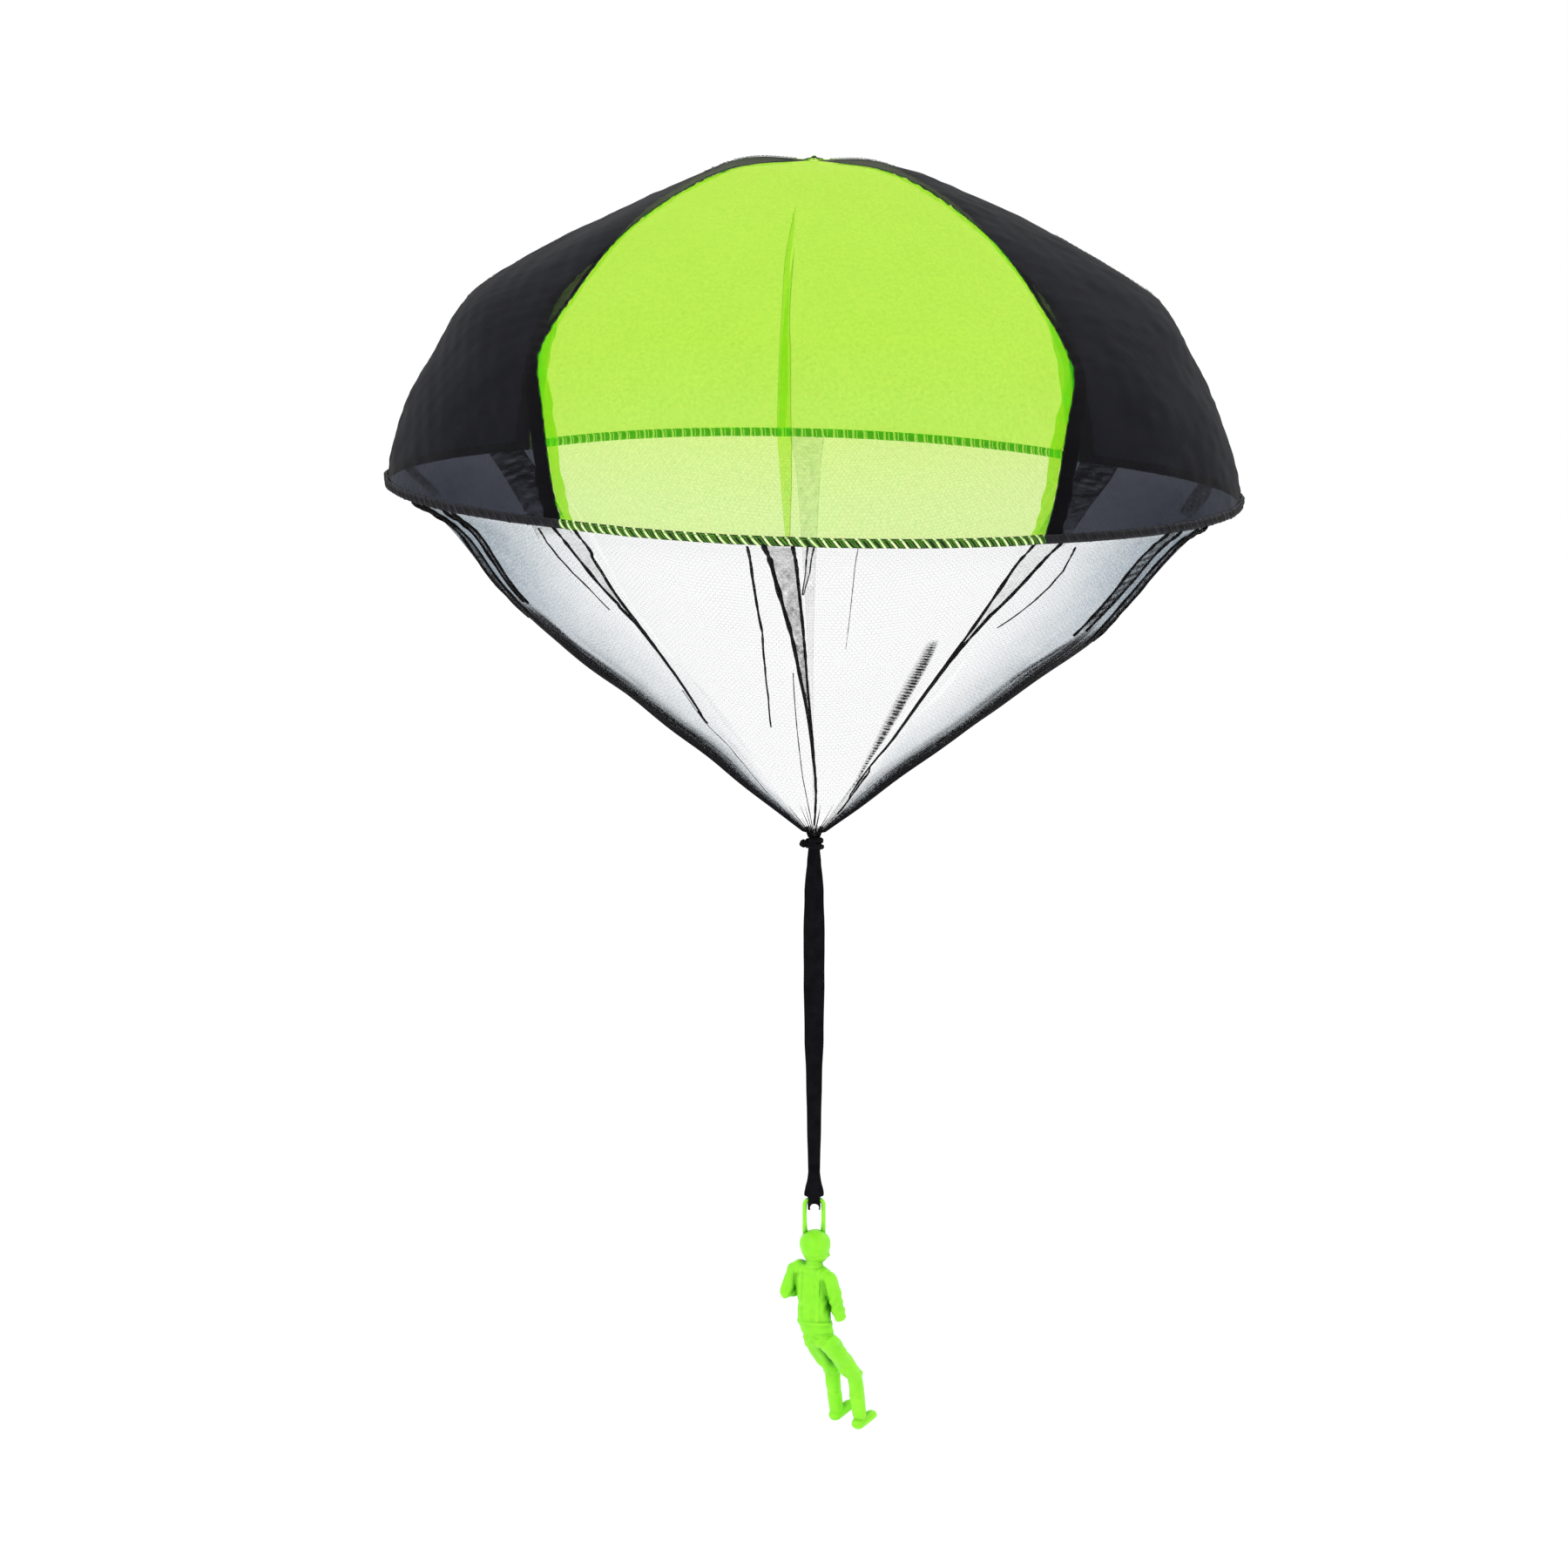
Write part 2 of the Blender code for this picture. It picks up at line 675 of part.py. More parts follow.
def build_strap_loop(collection, cutters, surface):
    """The folded end of the band: it widens, goes round the ring's bar and ends in two
    tips, with a bore in which the bar turns."""
    wall = BAR_BORE + LOOP_CLOTH
    top = TWIST_Z - GAP / 2
    shoulder = BAR_Z + BAR_BORE + GAP
    inner = RING_WIDTH - 2 * (RING_WIRE + RUNNING_GAP)
    levels = (
        (top, STRAP_WIDTH * 0.51, STRAP_FOLD),
        (top + (shoulder - top) * 0.35, LOOP_WIDTH * 0.72, STRAP_FOLD),
        (top + (shoulder - top) * 0.70, LOOP_WIDTH * 0.93, (STRAP_FOLD + 2 * wall) / 2),
        (shoulder + GAP, LOOP_WIDTH, 2 * wall),
        (shoulder, LOOP_WIDTH * 0.98, 2 * wall),
        (shoulder - GAP / 2, inner, 2 * wall),
        (BAR_Z, inner, 2 * wall),
        (BAR_Z - wall * 0.7, inner, 2 * wall * 0.82),
        (BAR_Z - wall, inner, 2 * wall * 0.62),
        (BAR_Z - wall - LOOP_TIP, inner * 0.94, wall * 0.7),
    )
    loop = loft_strap("strap_loop", levels, collection, surface)
    bore = bpy.data.meshes.new("bar_bore")
    mesh = bmesh.new()
    bmesh.ops.create_cone(
        mesh,
        cap_ends=True,
        segments=20,
        radius1=BAR_BORE,
        radius2=BAR_BORE,
        depth=2 * LOOP_WIDTH,
        matrix=Matrix.Translation((0, 0, BAR_Z)) @ Matrix.Rotation(math.pi / 2, 4, "Y"),
    )
    mesh.to_mesh(bore)
    mesh.free()
    notch = bpy.data.meshes.new("tip_notch")
    mesh = bmesh.new()
    bmesh.ops.create_cone(
        mesh,
        cap_ends=True,
        segments=3,
        radius1=LOOP_TIP * 1.25,
        radius2=LOOP_TIP * 1.25,
        depth=4 * wall,
        matrix=Matrix.Translation((0, 0, BAR_Z - wall - LOOP_TIP * 1.25))
        @ Matrix.Rotation(math.pi / 2, 4, "X"),
    )
    mesh.to_mesh(notch)
    mesh.free()
    for name, data in (("bar_bore", bore), ("tip_notch", notch)):
        cutter = add_object(name, data, cutters)
        cutter.hide_render = True
        cutter.display_type = "WIRE"
        cut = loop.modifiers.new(name, "BOOLEAN")
        cut.operation = "DIFFERENCE"
        cut.object = cutter
    return loop


# The figure

# Its blobs as pairs of round ends, in hundredths of its height: each end is how far right,
# forward and down from the top of the head it lies, and its three radii

BODY_SHAPES = (
    # head and helmet
    ((0.6, 0.2, 6.6), (7.3, 7.2, 6.5), (0.8, 0.8, 10.4), (6.6, 6.6, 6.6)),
    # neck and collar
    ((0.6, 0.0, 14.0), (3.9, 3.8, 3.0), (0.2, 0.0, 19.0), (4.4, 4.0, 3.0)),
    # shoulders and chest
    ((-7.4, 0.0, 19.2), (4.0, 4.3, 4.0), (5.4, 0.0, 21.8), (4.0, 4.3, 3.8)),
    ((-0.8, 0.2, 24.0), (8.8, 5.6, 5.4), (0.0, 0.0, 34.0), (8.4, 5.9, 5.6)),
    # jacket down to its hem
    ((0.2, 0.0, 34.0), (8.6, 5.8, 5.4), (0.6, 0.0, 44.0), (8.8, 5.6, 4.4)),
    ((0.6, 0.0, 44.5), (8.8, 5.7, 3.2), (2.2, 0.4, 49.6), (8.8, 5.9, 2.8)),
    # hips
    ((1.0, 0.4, 51.5), (6.4, 5.6, 4.6), (5.6, 0.4, 53.5), (6.2, 5.6, 4.6)),
    # left arm, bent with the hand at the chest
    ((-10.6, 0.0, 20.6), (3.6, 3.6, 3.6), (-14.4, -1.0, 32.4), (3.0, 3.1, 3.0)),
    ((-14.4, -1.0, 32.4), (3.0, 3.1, 3.0), (-6.2, 7.6, 29.4), (2.4, 2.4, 2.4)),
    ((-6.2, 7.6, 29.4), (2.5, 2.5, 2.5), (-3.8, 8.2, 28.0), (2.4, 2.3, 2.6)),
    # right arm
    ((8.8, 0.0, 23.4), (3.7, 3.7, 3.7), (15.4, -1.4, 40.2), (3.1, 3.2, 3.1)),
    ((15.4, -1.4, 40.2), (3.1, 3.2, 3.1), (6.4, 7.8, 35.0), (2.4, 2.4, 2.4)),
    ((6.4, 7.8, 35.0), (2.5, 2.5, 2.5), (4.0, 8.4, 33.4), (2.4, 2.3, 2.6)),
    # left leg
    ((0.4, 0.4, 54.0), (5.0, 5.2, 4.9), (2.4, 15.4, 72.0), (3.9, 4.0, 3.8)),
    ((2.4, 15.4, 72.0), (3.9, 4.0, 3.8), (3.0, 19.0, 92.0), (3.1, 3.2, 2.9)),
    ((2.8, 18.6, 94.8), (3.1, 3.4, 2.7), (6.2, 26.6, 91.0), (2.8, 3.0, 2.2)),
    # right leg
    ((8.8, 0.4, 55.0), (5.0, 5.2, 4.9), (15.6, 13.8, 73.0), (4.0, 4.0, 3.9)),
    ((15.6, 13.8, 73.0), (4.0, 4.0, 3.9), (16.8, 17.0, 93.0), (3.1, 3.2, 2.9)),
    ((16.4, 16.6, 97.2), (3.1, 3.4, 2.7), (19.0, 24.6, 94.2), (2.8, 3.0, 2.2)),
    # brow and nose of the plain face
    ((-1.8, 6.5, 8.2), (1.2, 0.8, 0.6), (3.0, 6.5, 8.2), (1.2, 0.8, 0.6)),
    ((0.7, 7.0, 9.6), (0.6, 0.7, 0.8), (0.7, 7.7, 11.2), (0.9, 0.8, 0.7)),
)
FIGURE_VOXEL = 0.0006
FIGURE_TRIANGLES = 3000


def round_points():
    """Points spread over a ball of radius 1."""
    mesh = bmesh.new()
    bmesh.ops.create_icosphere(mesh, subdivisions=3, radius=1.0)
    points = [vert.co.copy() for vert in mesh.verts]
    mesh.free()
    return points


def blob_mesh(ball, first, first_radii, second, second_radii):
    """The hull of two round ends, which makes a limb that swells or tapers."""
    unit = FIGURE_HEIGHT / 100
    mesh = bmesh.new()
    for (right, forward, down), radii in ((first, first_radii), (second, second_radii)):
        centre = Vector((right, forward, -down))
        for point in ball:
            mesh.verts.new((centre + point * Vector(radii)) * unit)
    hull = bmesh.ops.convex_hull(mesh, input=mesh.verts)
    inside = [item for item in hull["geom_interior"] if isinstance(item, bmesh.types.BMVert)]
    bmesh.ops.delete(mesh, geom=inside, context="VERTS")
    made = bpy.data.meshes.new("blob")
    mesh.to_mesh(made)
    mesh.free()
    return made


def centre_of_volume(data):
    data.calc_loop_triangles()
    points = np.array([vert.co for vert in data.vertices])
    corners = points[np.array([tri.vertices for tri in data.loop_triangles])]
    volumes = np.linalg.det(corners)
    return Vector(corners.sum(axis=1).T @ volumes / volumes.sum() / 4)


def applied(obj, collection):
    """The object with its modifiers applied, as a new mesh object of the same name."""
    graph = bpy.context.evaluated_depsgraph_get()
    data = bpy.data.meshes.new_from_object(obj.evaluated_get(graph))
    name = obj.name
    surfaces = list(obj.data.materials)
    place = obj.matrix_world.copy()
    bpy.data.objects.remove(obj, do_unlink=True)
    data.materials.clear()
    made = add_object(name, data, collection, surfaces[0] if surfaces else None)
    made.matrix_world = place
    return made


def build_body(collection, surface):
    """The body as one soft-edged moulding, turned as it hangs."""
    mesh = bmesh.new()
    ball = round_points()
    for shape in BODY_SHAPES:
        piece = blob_mesh(ball, *shape)
        mesh.from_mesh(piece)
        bpy.data.meshes.remove(piece)
    bmesh.ops.recalc_face_normals(mesh, faces=mesh.faces)
    data = bpy.data.meshes.new("figure_body")
    mesh.to_mesh(data)
    mesh.free()
    obj = add_object("figure_body", data, collection, surface)
    remesh = obj.modifiers.new("one_skin", "REMESH")
    remesh.mode = "VOXEL"
    remesh.voxel_size = FIGURE_VOXEL
    soften = obj.modifiers.new("soften", "SMOOTH")
    soften.factor = 0.5
    soften.iterations = 3
    obj = applied(obj, collection)
    faces = 2 * len(obj.data.polygons)
    reduce = obj.modifiers.new("reduce", "DECIMATE")
    reduce.ratio = FIGURE_TRIANGLES / faces
    obj = applied(obj, collection)
    turned = Matrix.Rotation(-FIGURE_TURN, 4, "Z")
    leaned = Matrix.Rotation(FIGURE_LEAN, 4, "Y")
    top = Matrix.Translation((0, 0, -RING_HEIGHT))
    obj.data.transform(leaned @ top @ turned)
    hanging = centre_of_volume(obj.data)
    plumb = math.atan2(hanging.y, -hanging.z)
    obj.data.transform(Matrix.Rotation(-plumb, 4, "X"))
    obj.data.transform(Matrix.Translation((0, 0, BAR_Z)))
    print("figure centre", centre_of_volume(obj.data), "tilt", math.degrees(plumb))
    return obj


def ring_points():
    """The ring from inside one side of the head, up over the bar and down again."""
    half = RING_WIDTH / 2
    foot = -RING_HEIGHT - 0.035 * FIGURE_HEIGHT
    points = [Vector((-half * 0.92, 0, foot)), Vector((-half, 0, -RING_HEIGHT * 0.75))]
    for k in range(5):
        turn = math.pi / 2 * k / 4
        points.append(
            Vector(
                (
                    -half + RING_CORNER * (1 - math.cos(turn)),
                    0,
                    -RING_CORNER * (1 - math.sin(turn)),
                )
            )
        )
    return points + [Vector((-p.x, p.y, p.z)) for p in reversed(points)]


def build_figure(collection, cutters, surface):
    body = build_body(collection, surface)
    ring = tube("figure_ring", ring_points(), RING_WIRE, cutters, None, 2)
    ring.location = (0, 0, BAR_Z)
    bpy.context.view_layer.update()
    ring = applied(ring, cutters)
    mesh = bmesh.new()
    mesh.from_mesh(ring.data)
    bmesh.ops.remove_doubles(mesh, verts=mesh.verts, dist=0.00001)
    bmesh.ops.recalc_face_normals(mesh, faces=mesh.faces)
    mesh.to_mesh(ring.data)
    mesh.free()
    ring.hide_render = True
    ring.display_type = "WIRE"
    body.name = "figure"
    body.data.name = "figure"
    union = body.modifiers.new("ring", "BOOLEAN")
    union.operation = "UNION"
    union.object = ring
    shade(body.data, 60)
    return body


def joint_empty(name, z, collection):
    empty = bpy.data.objects.new(name, None)
    empty.empty_display_size = 0.01
    empty.location = (0, 0, z)
    collection.objects.link(empty)
    return empty


def hang_on(obj, empty):
    """Parents a piece to its joint's empty and leaves it where it is."""
    bpy.context.view_layer.update()
    obj.parent = empty
    obj.matrix_parent_inverse = empty.matrix_world.inverted()


def main():
    clear_scene()
    parts = make_collection("toy_parachute")
    cutters = make_collection("cutters")
    cloths = {
        "green": material("green_cloth", GREEN_CLOTH, 0.55),
        "black": material("black_cloth", BLACK_CLOTH, 0.55),
    }
    threads = {
        "green": material("green_thread", GREEN_THREAD, 0.7),
        "black": material("black_thread", BLACK_THREAD, 0.7),
    }
    net = material("black_net", BLACK_NET, 0.8)
    strap_cloth = material("strap_cloth", BLACK_THREAD, 0.85)
    plastic = material("green_plastic", GREEN_PLASTIC, 0.4)

    build_canopy(parts, cloths)
    build_seams(parts, threads)
    build_hems(parts, threads)
    build_crown(parts, threads)
    build_net(parts, net)
    build_gather(parts, net)
    build_knot(parts, strap_cloth)

    neck = build_strap_neck(parts, strap_cloth)
    strap = build_strap(parts, strap_cloth)
    loop = build_strap_loop(parts, cutters, strap_cloth)
    figure = build_figure(parts, cutters, plastic)

    side = joint_empty("side_swing_axis", SIDE_SWING_Z, parts)
    fore = joint_empty("fore_swing_axis", FORE_SWING_Z, parts)
    twist = joint_empty("twist_axis", TWIST_Z, parts)
    bar = joint_empty("figure_swing_axis", BAR_Z, parts)
    hang_on(fore, side)
    hang_on(twist, fore)
    hang_on(bar, twist)
    hang_on(neck, side)
    hang_on(strap, fore)
    hang_on(loop, twist)
    hang_on(figure, bar)


main()
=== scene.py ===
"""A toy parachute as a finished toy: sewn sheer canopy, pleated net, knotted strap and figure."""

import math

import bmesh
import bpy
import numpy as np
from mathutils import Matrix, Vector


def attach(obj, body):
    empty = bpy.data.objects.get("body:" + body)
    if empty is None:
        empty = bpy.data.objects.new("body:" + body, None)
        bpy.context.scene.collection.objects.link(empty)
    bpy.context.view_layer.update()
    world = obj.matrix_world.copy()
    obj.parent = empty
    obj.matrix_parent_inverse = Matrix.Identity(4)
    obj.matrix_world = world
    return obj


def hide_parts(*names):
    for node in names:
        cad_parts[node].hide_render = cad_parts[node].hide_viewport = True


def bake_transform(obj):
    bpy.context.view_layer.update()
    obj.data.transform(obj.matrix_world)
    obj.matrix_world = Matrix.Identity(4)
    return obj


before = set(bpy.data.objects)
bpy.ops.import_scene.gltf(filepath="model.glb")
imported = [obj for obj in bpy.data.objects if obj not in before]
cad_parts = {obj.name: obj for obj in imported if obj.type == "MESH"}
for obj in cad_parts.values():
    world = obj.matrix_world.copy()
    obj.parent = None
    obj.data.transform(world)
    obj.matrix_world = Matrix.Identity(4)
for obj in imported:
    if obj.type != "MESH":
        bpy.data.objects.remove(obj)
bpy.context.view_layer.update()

# The sizes of the solids that this dresses, in metres

CANOPY_RADIUS = 0.1875
CANOPY_HEIGHT = 0.1436
RIM_LEAN = math.radians(1.58)
CROWN_TIP = 0.0022
CROWN_RADIUS = 0.0046
HEM_HEIGHT = 0.0044
NET_DEPTH = 0.1542
NET_SAG = 0.0022
GATHER_RADIUS = 0.0034
GATHER_LENGTH = 0.0011
KNOT_RADIUS = 0.0033
KNOT_CORD = 0.00115
KNOT_GAP = 0.00045
KNOT_TURNS = 1.7
TAIL_LENGTH = 0.0068
STRAP_WIDTH = 0.0095
STRAP_THICKNESS = 0.0015
STRAP_FOLD = 0.0026
NECK_WIDTH = 0.0062
NECK_LENGTH = 0.0062
STRAP_LENGTH = 0.1364
LOOP_LENGTH = 0.0126
LOOP_WIDTH = 0.0088
LOOP_TIP = 0.0027
LOOP_CLOTH = 0.0008
RING_WIRE = 0.00095
RING_WIDTH = 0.0084
RING_CORNER = 0.0024
RING_HEIGHT = 0.0138
FIGURE_HEIGHT = 0.0928
FIGURE_TURN = math.radians(28)
FIGURE_LEAN = math.radians(0.4)
GAP = 0.0003
RUNNING_GAP = 0.00035

KNOT_PITCH = 2 * KNOT_CORD + KNOT_GAP
RIM_Z = -(CROWN_TIP + CANOPY_HEIGHT)
HEM_HALF = HEM_HEIGHT / 2
GATHER_Z = RIM_Z - NET_DEPTH
KNOT_TOP = GATHER_Z - 2 * GAP - GATHER_LENGTH
KNOT_Z = KNOT_TOP - KNOT_CORD - KNOT_TURNS * KNOT_PITCH / 2
KNOT_BOTTOM = KNOT_Z - KNOT_TURNS * KNOT_PITCH / 2 - KNOT_CORD
SIDE_SWING_Z = KNOT_BOTTOM - GAP - NECK_WIDTH / 2
FORE_SWING_Z = SIDE_SWING_Z - NECK_LENGTH
TWIST_Z = FORE_SWING_Z - STRAP_LENGTH
BAR_Z = TWIST_Z - LOOP_LENGTH
BAR_BORE = RING_WIRE + RUNNING_GAP

SEAMS = {
    "front_left": (-56, -38),
    "front_right": (53, 34),
    "back_right": (139, 135),
    "back_left": (225, 229),
}
PANELS = {
    "front": ("front_left", "front_right", 0),
    "right": ("front_right", "back_right", 0),
    "back": ("back_right", "back_left", 0),
    "left": ("back_left", "front_left", -360),
}
GREEN_PANELS = ("front", "back")
MERIDIANS = (
    (0.000, 1.000, 0.000, 1.000, 0.00),
    (0.203, 0.974, 0.203, 0.988, 0.00),
    (0.366, 0.888, 0.360, 0.926, 0.06),
    (0.550, 0.773, 0.550, 0.800, 0.18),
    (0.750, 0.628, 0.710, 0.630, 0.32),
    (0.830, 0.535, 0.790, 0.548, 0.42),
    (0.885, 0.405, 0.855, 0.460, 0.52),
    (0.945, 0.262, 0.893, 0.317, 0.72),
    (0.985, 0.098, 0.915, 0.118, 0.89),
    (1.000, 0.000, 0.920, 0.000, 1.00),
)
BILLOW_SHARE = {"front": 0.0, "right": 0.0223, "back": 0.0, "left": -0.0139}
RIM_ARCH_SHARE = {"front": 0.0167, "right": 0.0, "back": 0.0, "left": 0.0}
DART_START = 0.36
NET_MERIDIAN = (
    (1.000, 0.000),
    (0.893, 0.080),
    (0.785, 0.255),
    (0.660, 0.395),
    (0.450, 0.580),
    (0.250, 0.760),
    (0.107, 0.900),
    (0.000, 1.000),
)

# Sewing and cloth, in metres

CLOTH_INSET = 0.00015
LAYER = 0.00028
DART_CREASE = 0.0010
DART_HALF = 0.0026
DART_SHARE = {"front": 0.484, "right": 0.5, "back": 0.535, "left": 0.5}
ALLOWANCE = ((0.00, 0.0022), (0.45, 0.0024), (0.62, 0.0052), (0.76, 0.0080), (1.00, 0.0084))
DART_TUCK = ((0.30, 0.0), (0.42, 0.0021), (0.70, 0.0030), (0.84, 0.0044), (1.00, 0.0036))
FRONT_TUCK = (
    (0.31, 0.4670, 0.4680),
    (0.40, 0.4650, 0.4720),
    (0.55, 0.4640, 0.4800),
    (0.70, 0.4635, 0.4830),
    (0.76, 0.4630, 0.4860),
    (0.83, 0.4685, 0.4870),
    (0.90, 0.4735, 0.4860),
    (1.00, 0.4780, 0.4850),
)
OVERLOCK_PITCH = 0.0048
OVERLOCK_INSIDE = 0.00048
OVERLOCK_REACH = 0.00078
OVERLOCK_THREADS = (0.00055, 0.00024, 0.00024)
HEXAGON = 0.00125
NET_THREAD = 0.0000215

# Rows of stitches: length, gap, radius of the thread, how far it rises, and the seed

SEAM_STITCH = (0.0019, 0.0006, 0.00017, 0.00022, 5)
DART_STITCH = (0.0018, 0.0006, 0.00011, 0.00012, 9)
NEEDLE_STITCH = (0.0019, 0.0005, 0.00013, 0.00014, 3)

# How finely each surface is drawn: rows down and columns across

BASE_GRID = (241, 161)
CLOTH_GRID = (190, 131)
ALLOWANCE_GRID = (150, 9)
TUCK_GRID = (120, 9)
NET_GRID = (110, 91)
PLEAT_ROWS = 90
BAND_SIDES = 40
RIM_POINTS = 900

rng = np.random.default_rng(7)

# Curves and surfaces


def smooth_rows(table, places):
    """A table of given rows, read as one smooth curve at these places from 0 to 1."""
    rows = np.asarray(table, float)
    rows = np.vstack([2 * rows[0] - rows[1], rows, 2 * rows[-1] - rows[-2]])
    at = np.clip(np.asarray(places, float), 0, 1) * (len(table) - 1)
    start = np.minimum(at.astype(int), len(table) - 2)
    t = (at - start)[..., None]
    before, first, second, after = (rows[start + k] for k in range(4))
    return 0.5 * (
        2 * first
        + (second - before) * t
        + (2 * before - 5 * first + 4 * second - after) * t**2
        + (3 * first - before - 3 * second + after) * t**3
    )


def ramp(value, start, end):
    """0 before start, 1 after end, and smooth between."""
    t = np.clip((value - start) / (end - start), 0, 1)
    return t * t * (3 - 2 * t)


def read_table(table, place):
    """A two-column table read at these places, straight between its rows."""
    keys, values = zip(*table)
    return np.interp(place, keys, values)


def run_down(columns, count):
    """The first column of a table at even steps, then its other columns read there."""
    keys, *others = columns
    place = np.linspace(keys[0], keys[-1], count)
    return [place, *(np.interp(place, keys, values) for values in others)]


def read_path(at, along, line):
    """A line of points or directions, read at these lengths along it."""
    return np.stack([np.interp(at, along, line[:, c]) for c in range(3)], -1)


def circle(count):
    """Even turns round a full circle."""
    return np.linspace(0, 2 * math.pi, count + 1)[:-1]


def rounded(value, power):
    """A sine or cosine drawn towards 1 or -1, which squares the corners of its circle."""
    return np.sign(value) * np.abs(value) ** power


def ring_points(radius, angle, z):
    """Points at this radius and angle from the front, at these heights."""
    x, y = radius * np.sin(angle), -radius * np.cos(angle)
    return np.stack([x, y, np.broadcast_to(z, x.shape)], -1)


def floats(*values):
    """These values as arrays of numbers of one common shape."""
    return np.broadcast_arrays(*(np.asarray(value, float) for value in values))


def around(radius, angle, z):
    """Points at this radius and angle from the front, on the canopy as it leans."""
    x = radius * np.sin(angle)
    return np.stack([x, -radius * np.cos(angle), z - math.tan(RIM_LEAN) * x], -1)


def panel_edges(panel, turned):
    """The angles of a panel's two seams, from one side to the other."""
    first, last, back = PANELS[panel]
    low, high = (SEAMS[s][0] + (SEAMS[s][1] - SEAMS[s][0]) * turned for s in (first, last))
    return np.radians(low + back), np.radians(high)


def canopy_surface(panel, place, across, inset=0.0):
    """Points of the canopy, place from crown to rim and across from seam to seam."""
    place, across = floats(place, across)
    row = smooth_rows(MERIDIANS, place)
    first, last = panel_edges(panel, row[..., 4])
    centre = np.sin(np.pi * across)
    radius = (row[..., 2] + (row[..., 0] - row[..., 2]) * centre) * CANOPY_RADIUS
    raised = BILLOW_SHARE[panel] * 4 * place * (1 - place) + RIM_ARCH_SHARE[panel] * place**3
    height = (row[..., 3] + (row[..., 1] - row[..., 3] + raised) * centre) * CANOPY_HEIGHT
    off = np.abs(across - DART_SHARE[panel]) * (last - first) * radius
    fold = DART_CREASE * np.exp(-((off / DART_HALF) ** 1.5)) * ramp(place, DART_START, 0.7)
    radius = radius - fold - inset
    return around(radius, first + (last - first) * across, RIM_Z + height - inset)


def unit(vectors):
    return vectors / (np.linalg.norm(vectors, axis=-1, keepdims=True) + 1e-12)


def normals_of(points):
    """The outward direction at each point of a grid that runs down and then across."""
    return unit(np.cross(np.gradient(points, axis=0), np.gradient(points, axis=1)))


def waves(points, shortest, longest, count, seed):
    """A soft random field of mean 0 and about unit height, from plane waves."""
    source = np.random.default_rng(seed)
    total = np.zeros(points.shape[:-1])
    for _ in range(count):
        way = source.normal(size=3)
        way /= np.linalg.norm(way)
        length = source.uniform(shortest, longest)
        total += np.sin(points @ way * 2 * math.pi / length + source.uniform(0, 7))
    return total / math.sqrt(count / 2) / 1.4


def rough_line(along, shortest, longest, count, seed):
    """The same along one length."""
    source = np.random.default_rng(seed)
    total = np.zeros(np.shape(along))
    for _ in range(count):
        length = source.uniform(shortest, longest)
        total = total + np.sin(along * 2 * math.pi / length + source.uniform(0, 7))
    return total / math.sqrt(count / 2) / 1.4


# Meshes


def grid_faces(rows, columns, closed=False):
    """The four-cornered faces of a grid of points, closed round its columns or open."""
    over = columns if closed else columns - 1
    i, j = np.meshgrid(np.arange(rows - 1), np.arange(over), indexing="ij")
    k = (j + 1) % columns
    corners = [i * columns + j, (i + 1) * columns + j, (i + 1) * columns + k, i * columns + k]
    return np.stack(corners, -1).reshape(-1, 4)


def joined(parts):
    """Several (points, faces) as one."""
    points, faces, count = [], [], 0
    for p, f in parts:
        points.append(p.reshape(-1, 3))
        faces.append(f + count)
        count += len(points[-1])
    return np.vstack(points), np.vstack(faces)


def linked(name, data):
    obj = bpy.data.objects.new(name, data)
    bpy.context.scene.collection.objects.link(obj)
    return obj


def mesh_object(name, points, faces, surface, smooth=True):
    points = np.asarray(points, float).reshape(-1, 3)
    faces = np.asarray(faces, int)
    data = bpy.data.meshes.new(name)
    data.vertices.add(len(points))
    data.vertices.foreach_set("co", points.ravel())
    data.loops.add(faces.size)
    data.loops.foreach_set("vertex_index", faces.ravel())
    data.polygons.add(len(faces))
    data.polygons.foreach_set("loop_start", np.arange(0, faces.size, faces.shape[1]))
    data.update(calc_edges=True)
    data.validate()
    if smooth:
        data.shade_smooth()
    data.materials.append(surface)
    return linked(name, data)


def grid_object(name, points, surface, closed=False):
    """A mesh object from a grid of points."""
    return mesh_object(name, points, grid_faces(*points.shape[:2], closed), surface)


def sweep(path, radius, hint, sides=6, flat=1.0, ends=True):
    """A round or flattened thread along a path. Hint is the way that its flat side faces."""
    path = np.asarray(path, float)
    radius = np.array(np.broadcast_to(radius, (len(path),)), float)
    if ends:
        path = np.vstack([path[:1], path, path[-1:]])
        radius = np.concatenate([[radius[0] * 0.05], radius, [radius[-1] * 0.05]])
        hint = np.broadcast_to(hint, (len(path) - 2, 3))
        hint = np.vstack([hint[:1], hint, hint[-1:]])
    tangent = unit(np.gradient(path, axis=0))
    hint = np.broadcast_to(np.asarray(hint, float), path.shape)
    normal = unit(hint - (hint * tangent).sum(-1, keepdims=True) * tangent)
    side = np.cross(tangent, normal)
    turn = np.arange(sides) * 2 * math.pi / sides
    ring = np.cos(turn)[None, :, None] * normal[:, None] * flat
    ring = ring + np.sin(turn)[None, :, None] * side[:, None]
    points = path[:, None] + radius[:, None, None] * ring
    return points.reshape(-1, 3), grid_faces(len(path), sides, closed=True)


def arc_length(points):
    steps = np.linalg.norm(np.diff(points, axis=0), axis=-1)
    return np.concatenate([[0.0], np.cumsum(steps)])


# Materials


def node(tree, kind, inputs=(), **settings):
    """A new shader node, with its inputs linked or set."""
    made = tree.nodes.new("ShaderNode" + kind)
    for key, value in settings.items():
        setattr(made, key, value)
    for key, value in dict(inputs).items():
        if isinstance(value, bpy.types.NodeSocket):
            tree.links.new(value, made.inputs[key])
        else:
            made.inputs[key].default_value = value
    return made


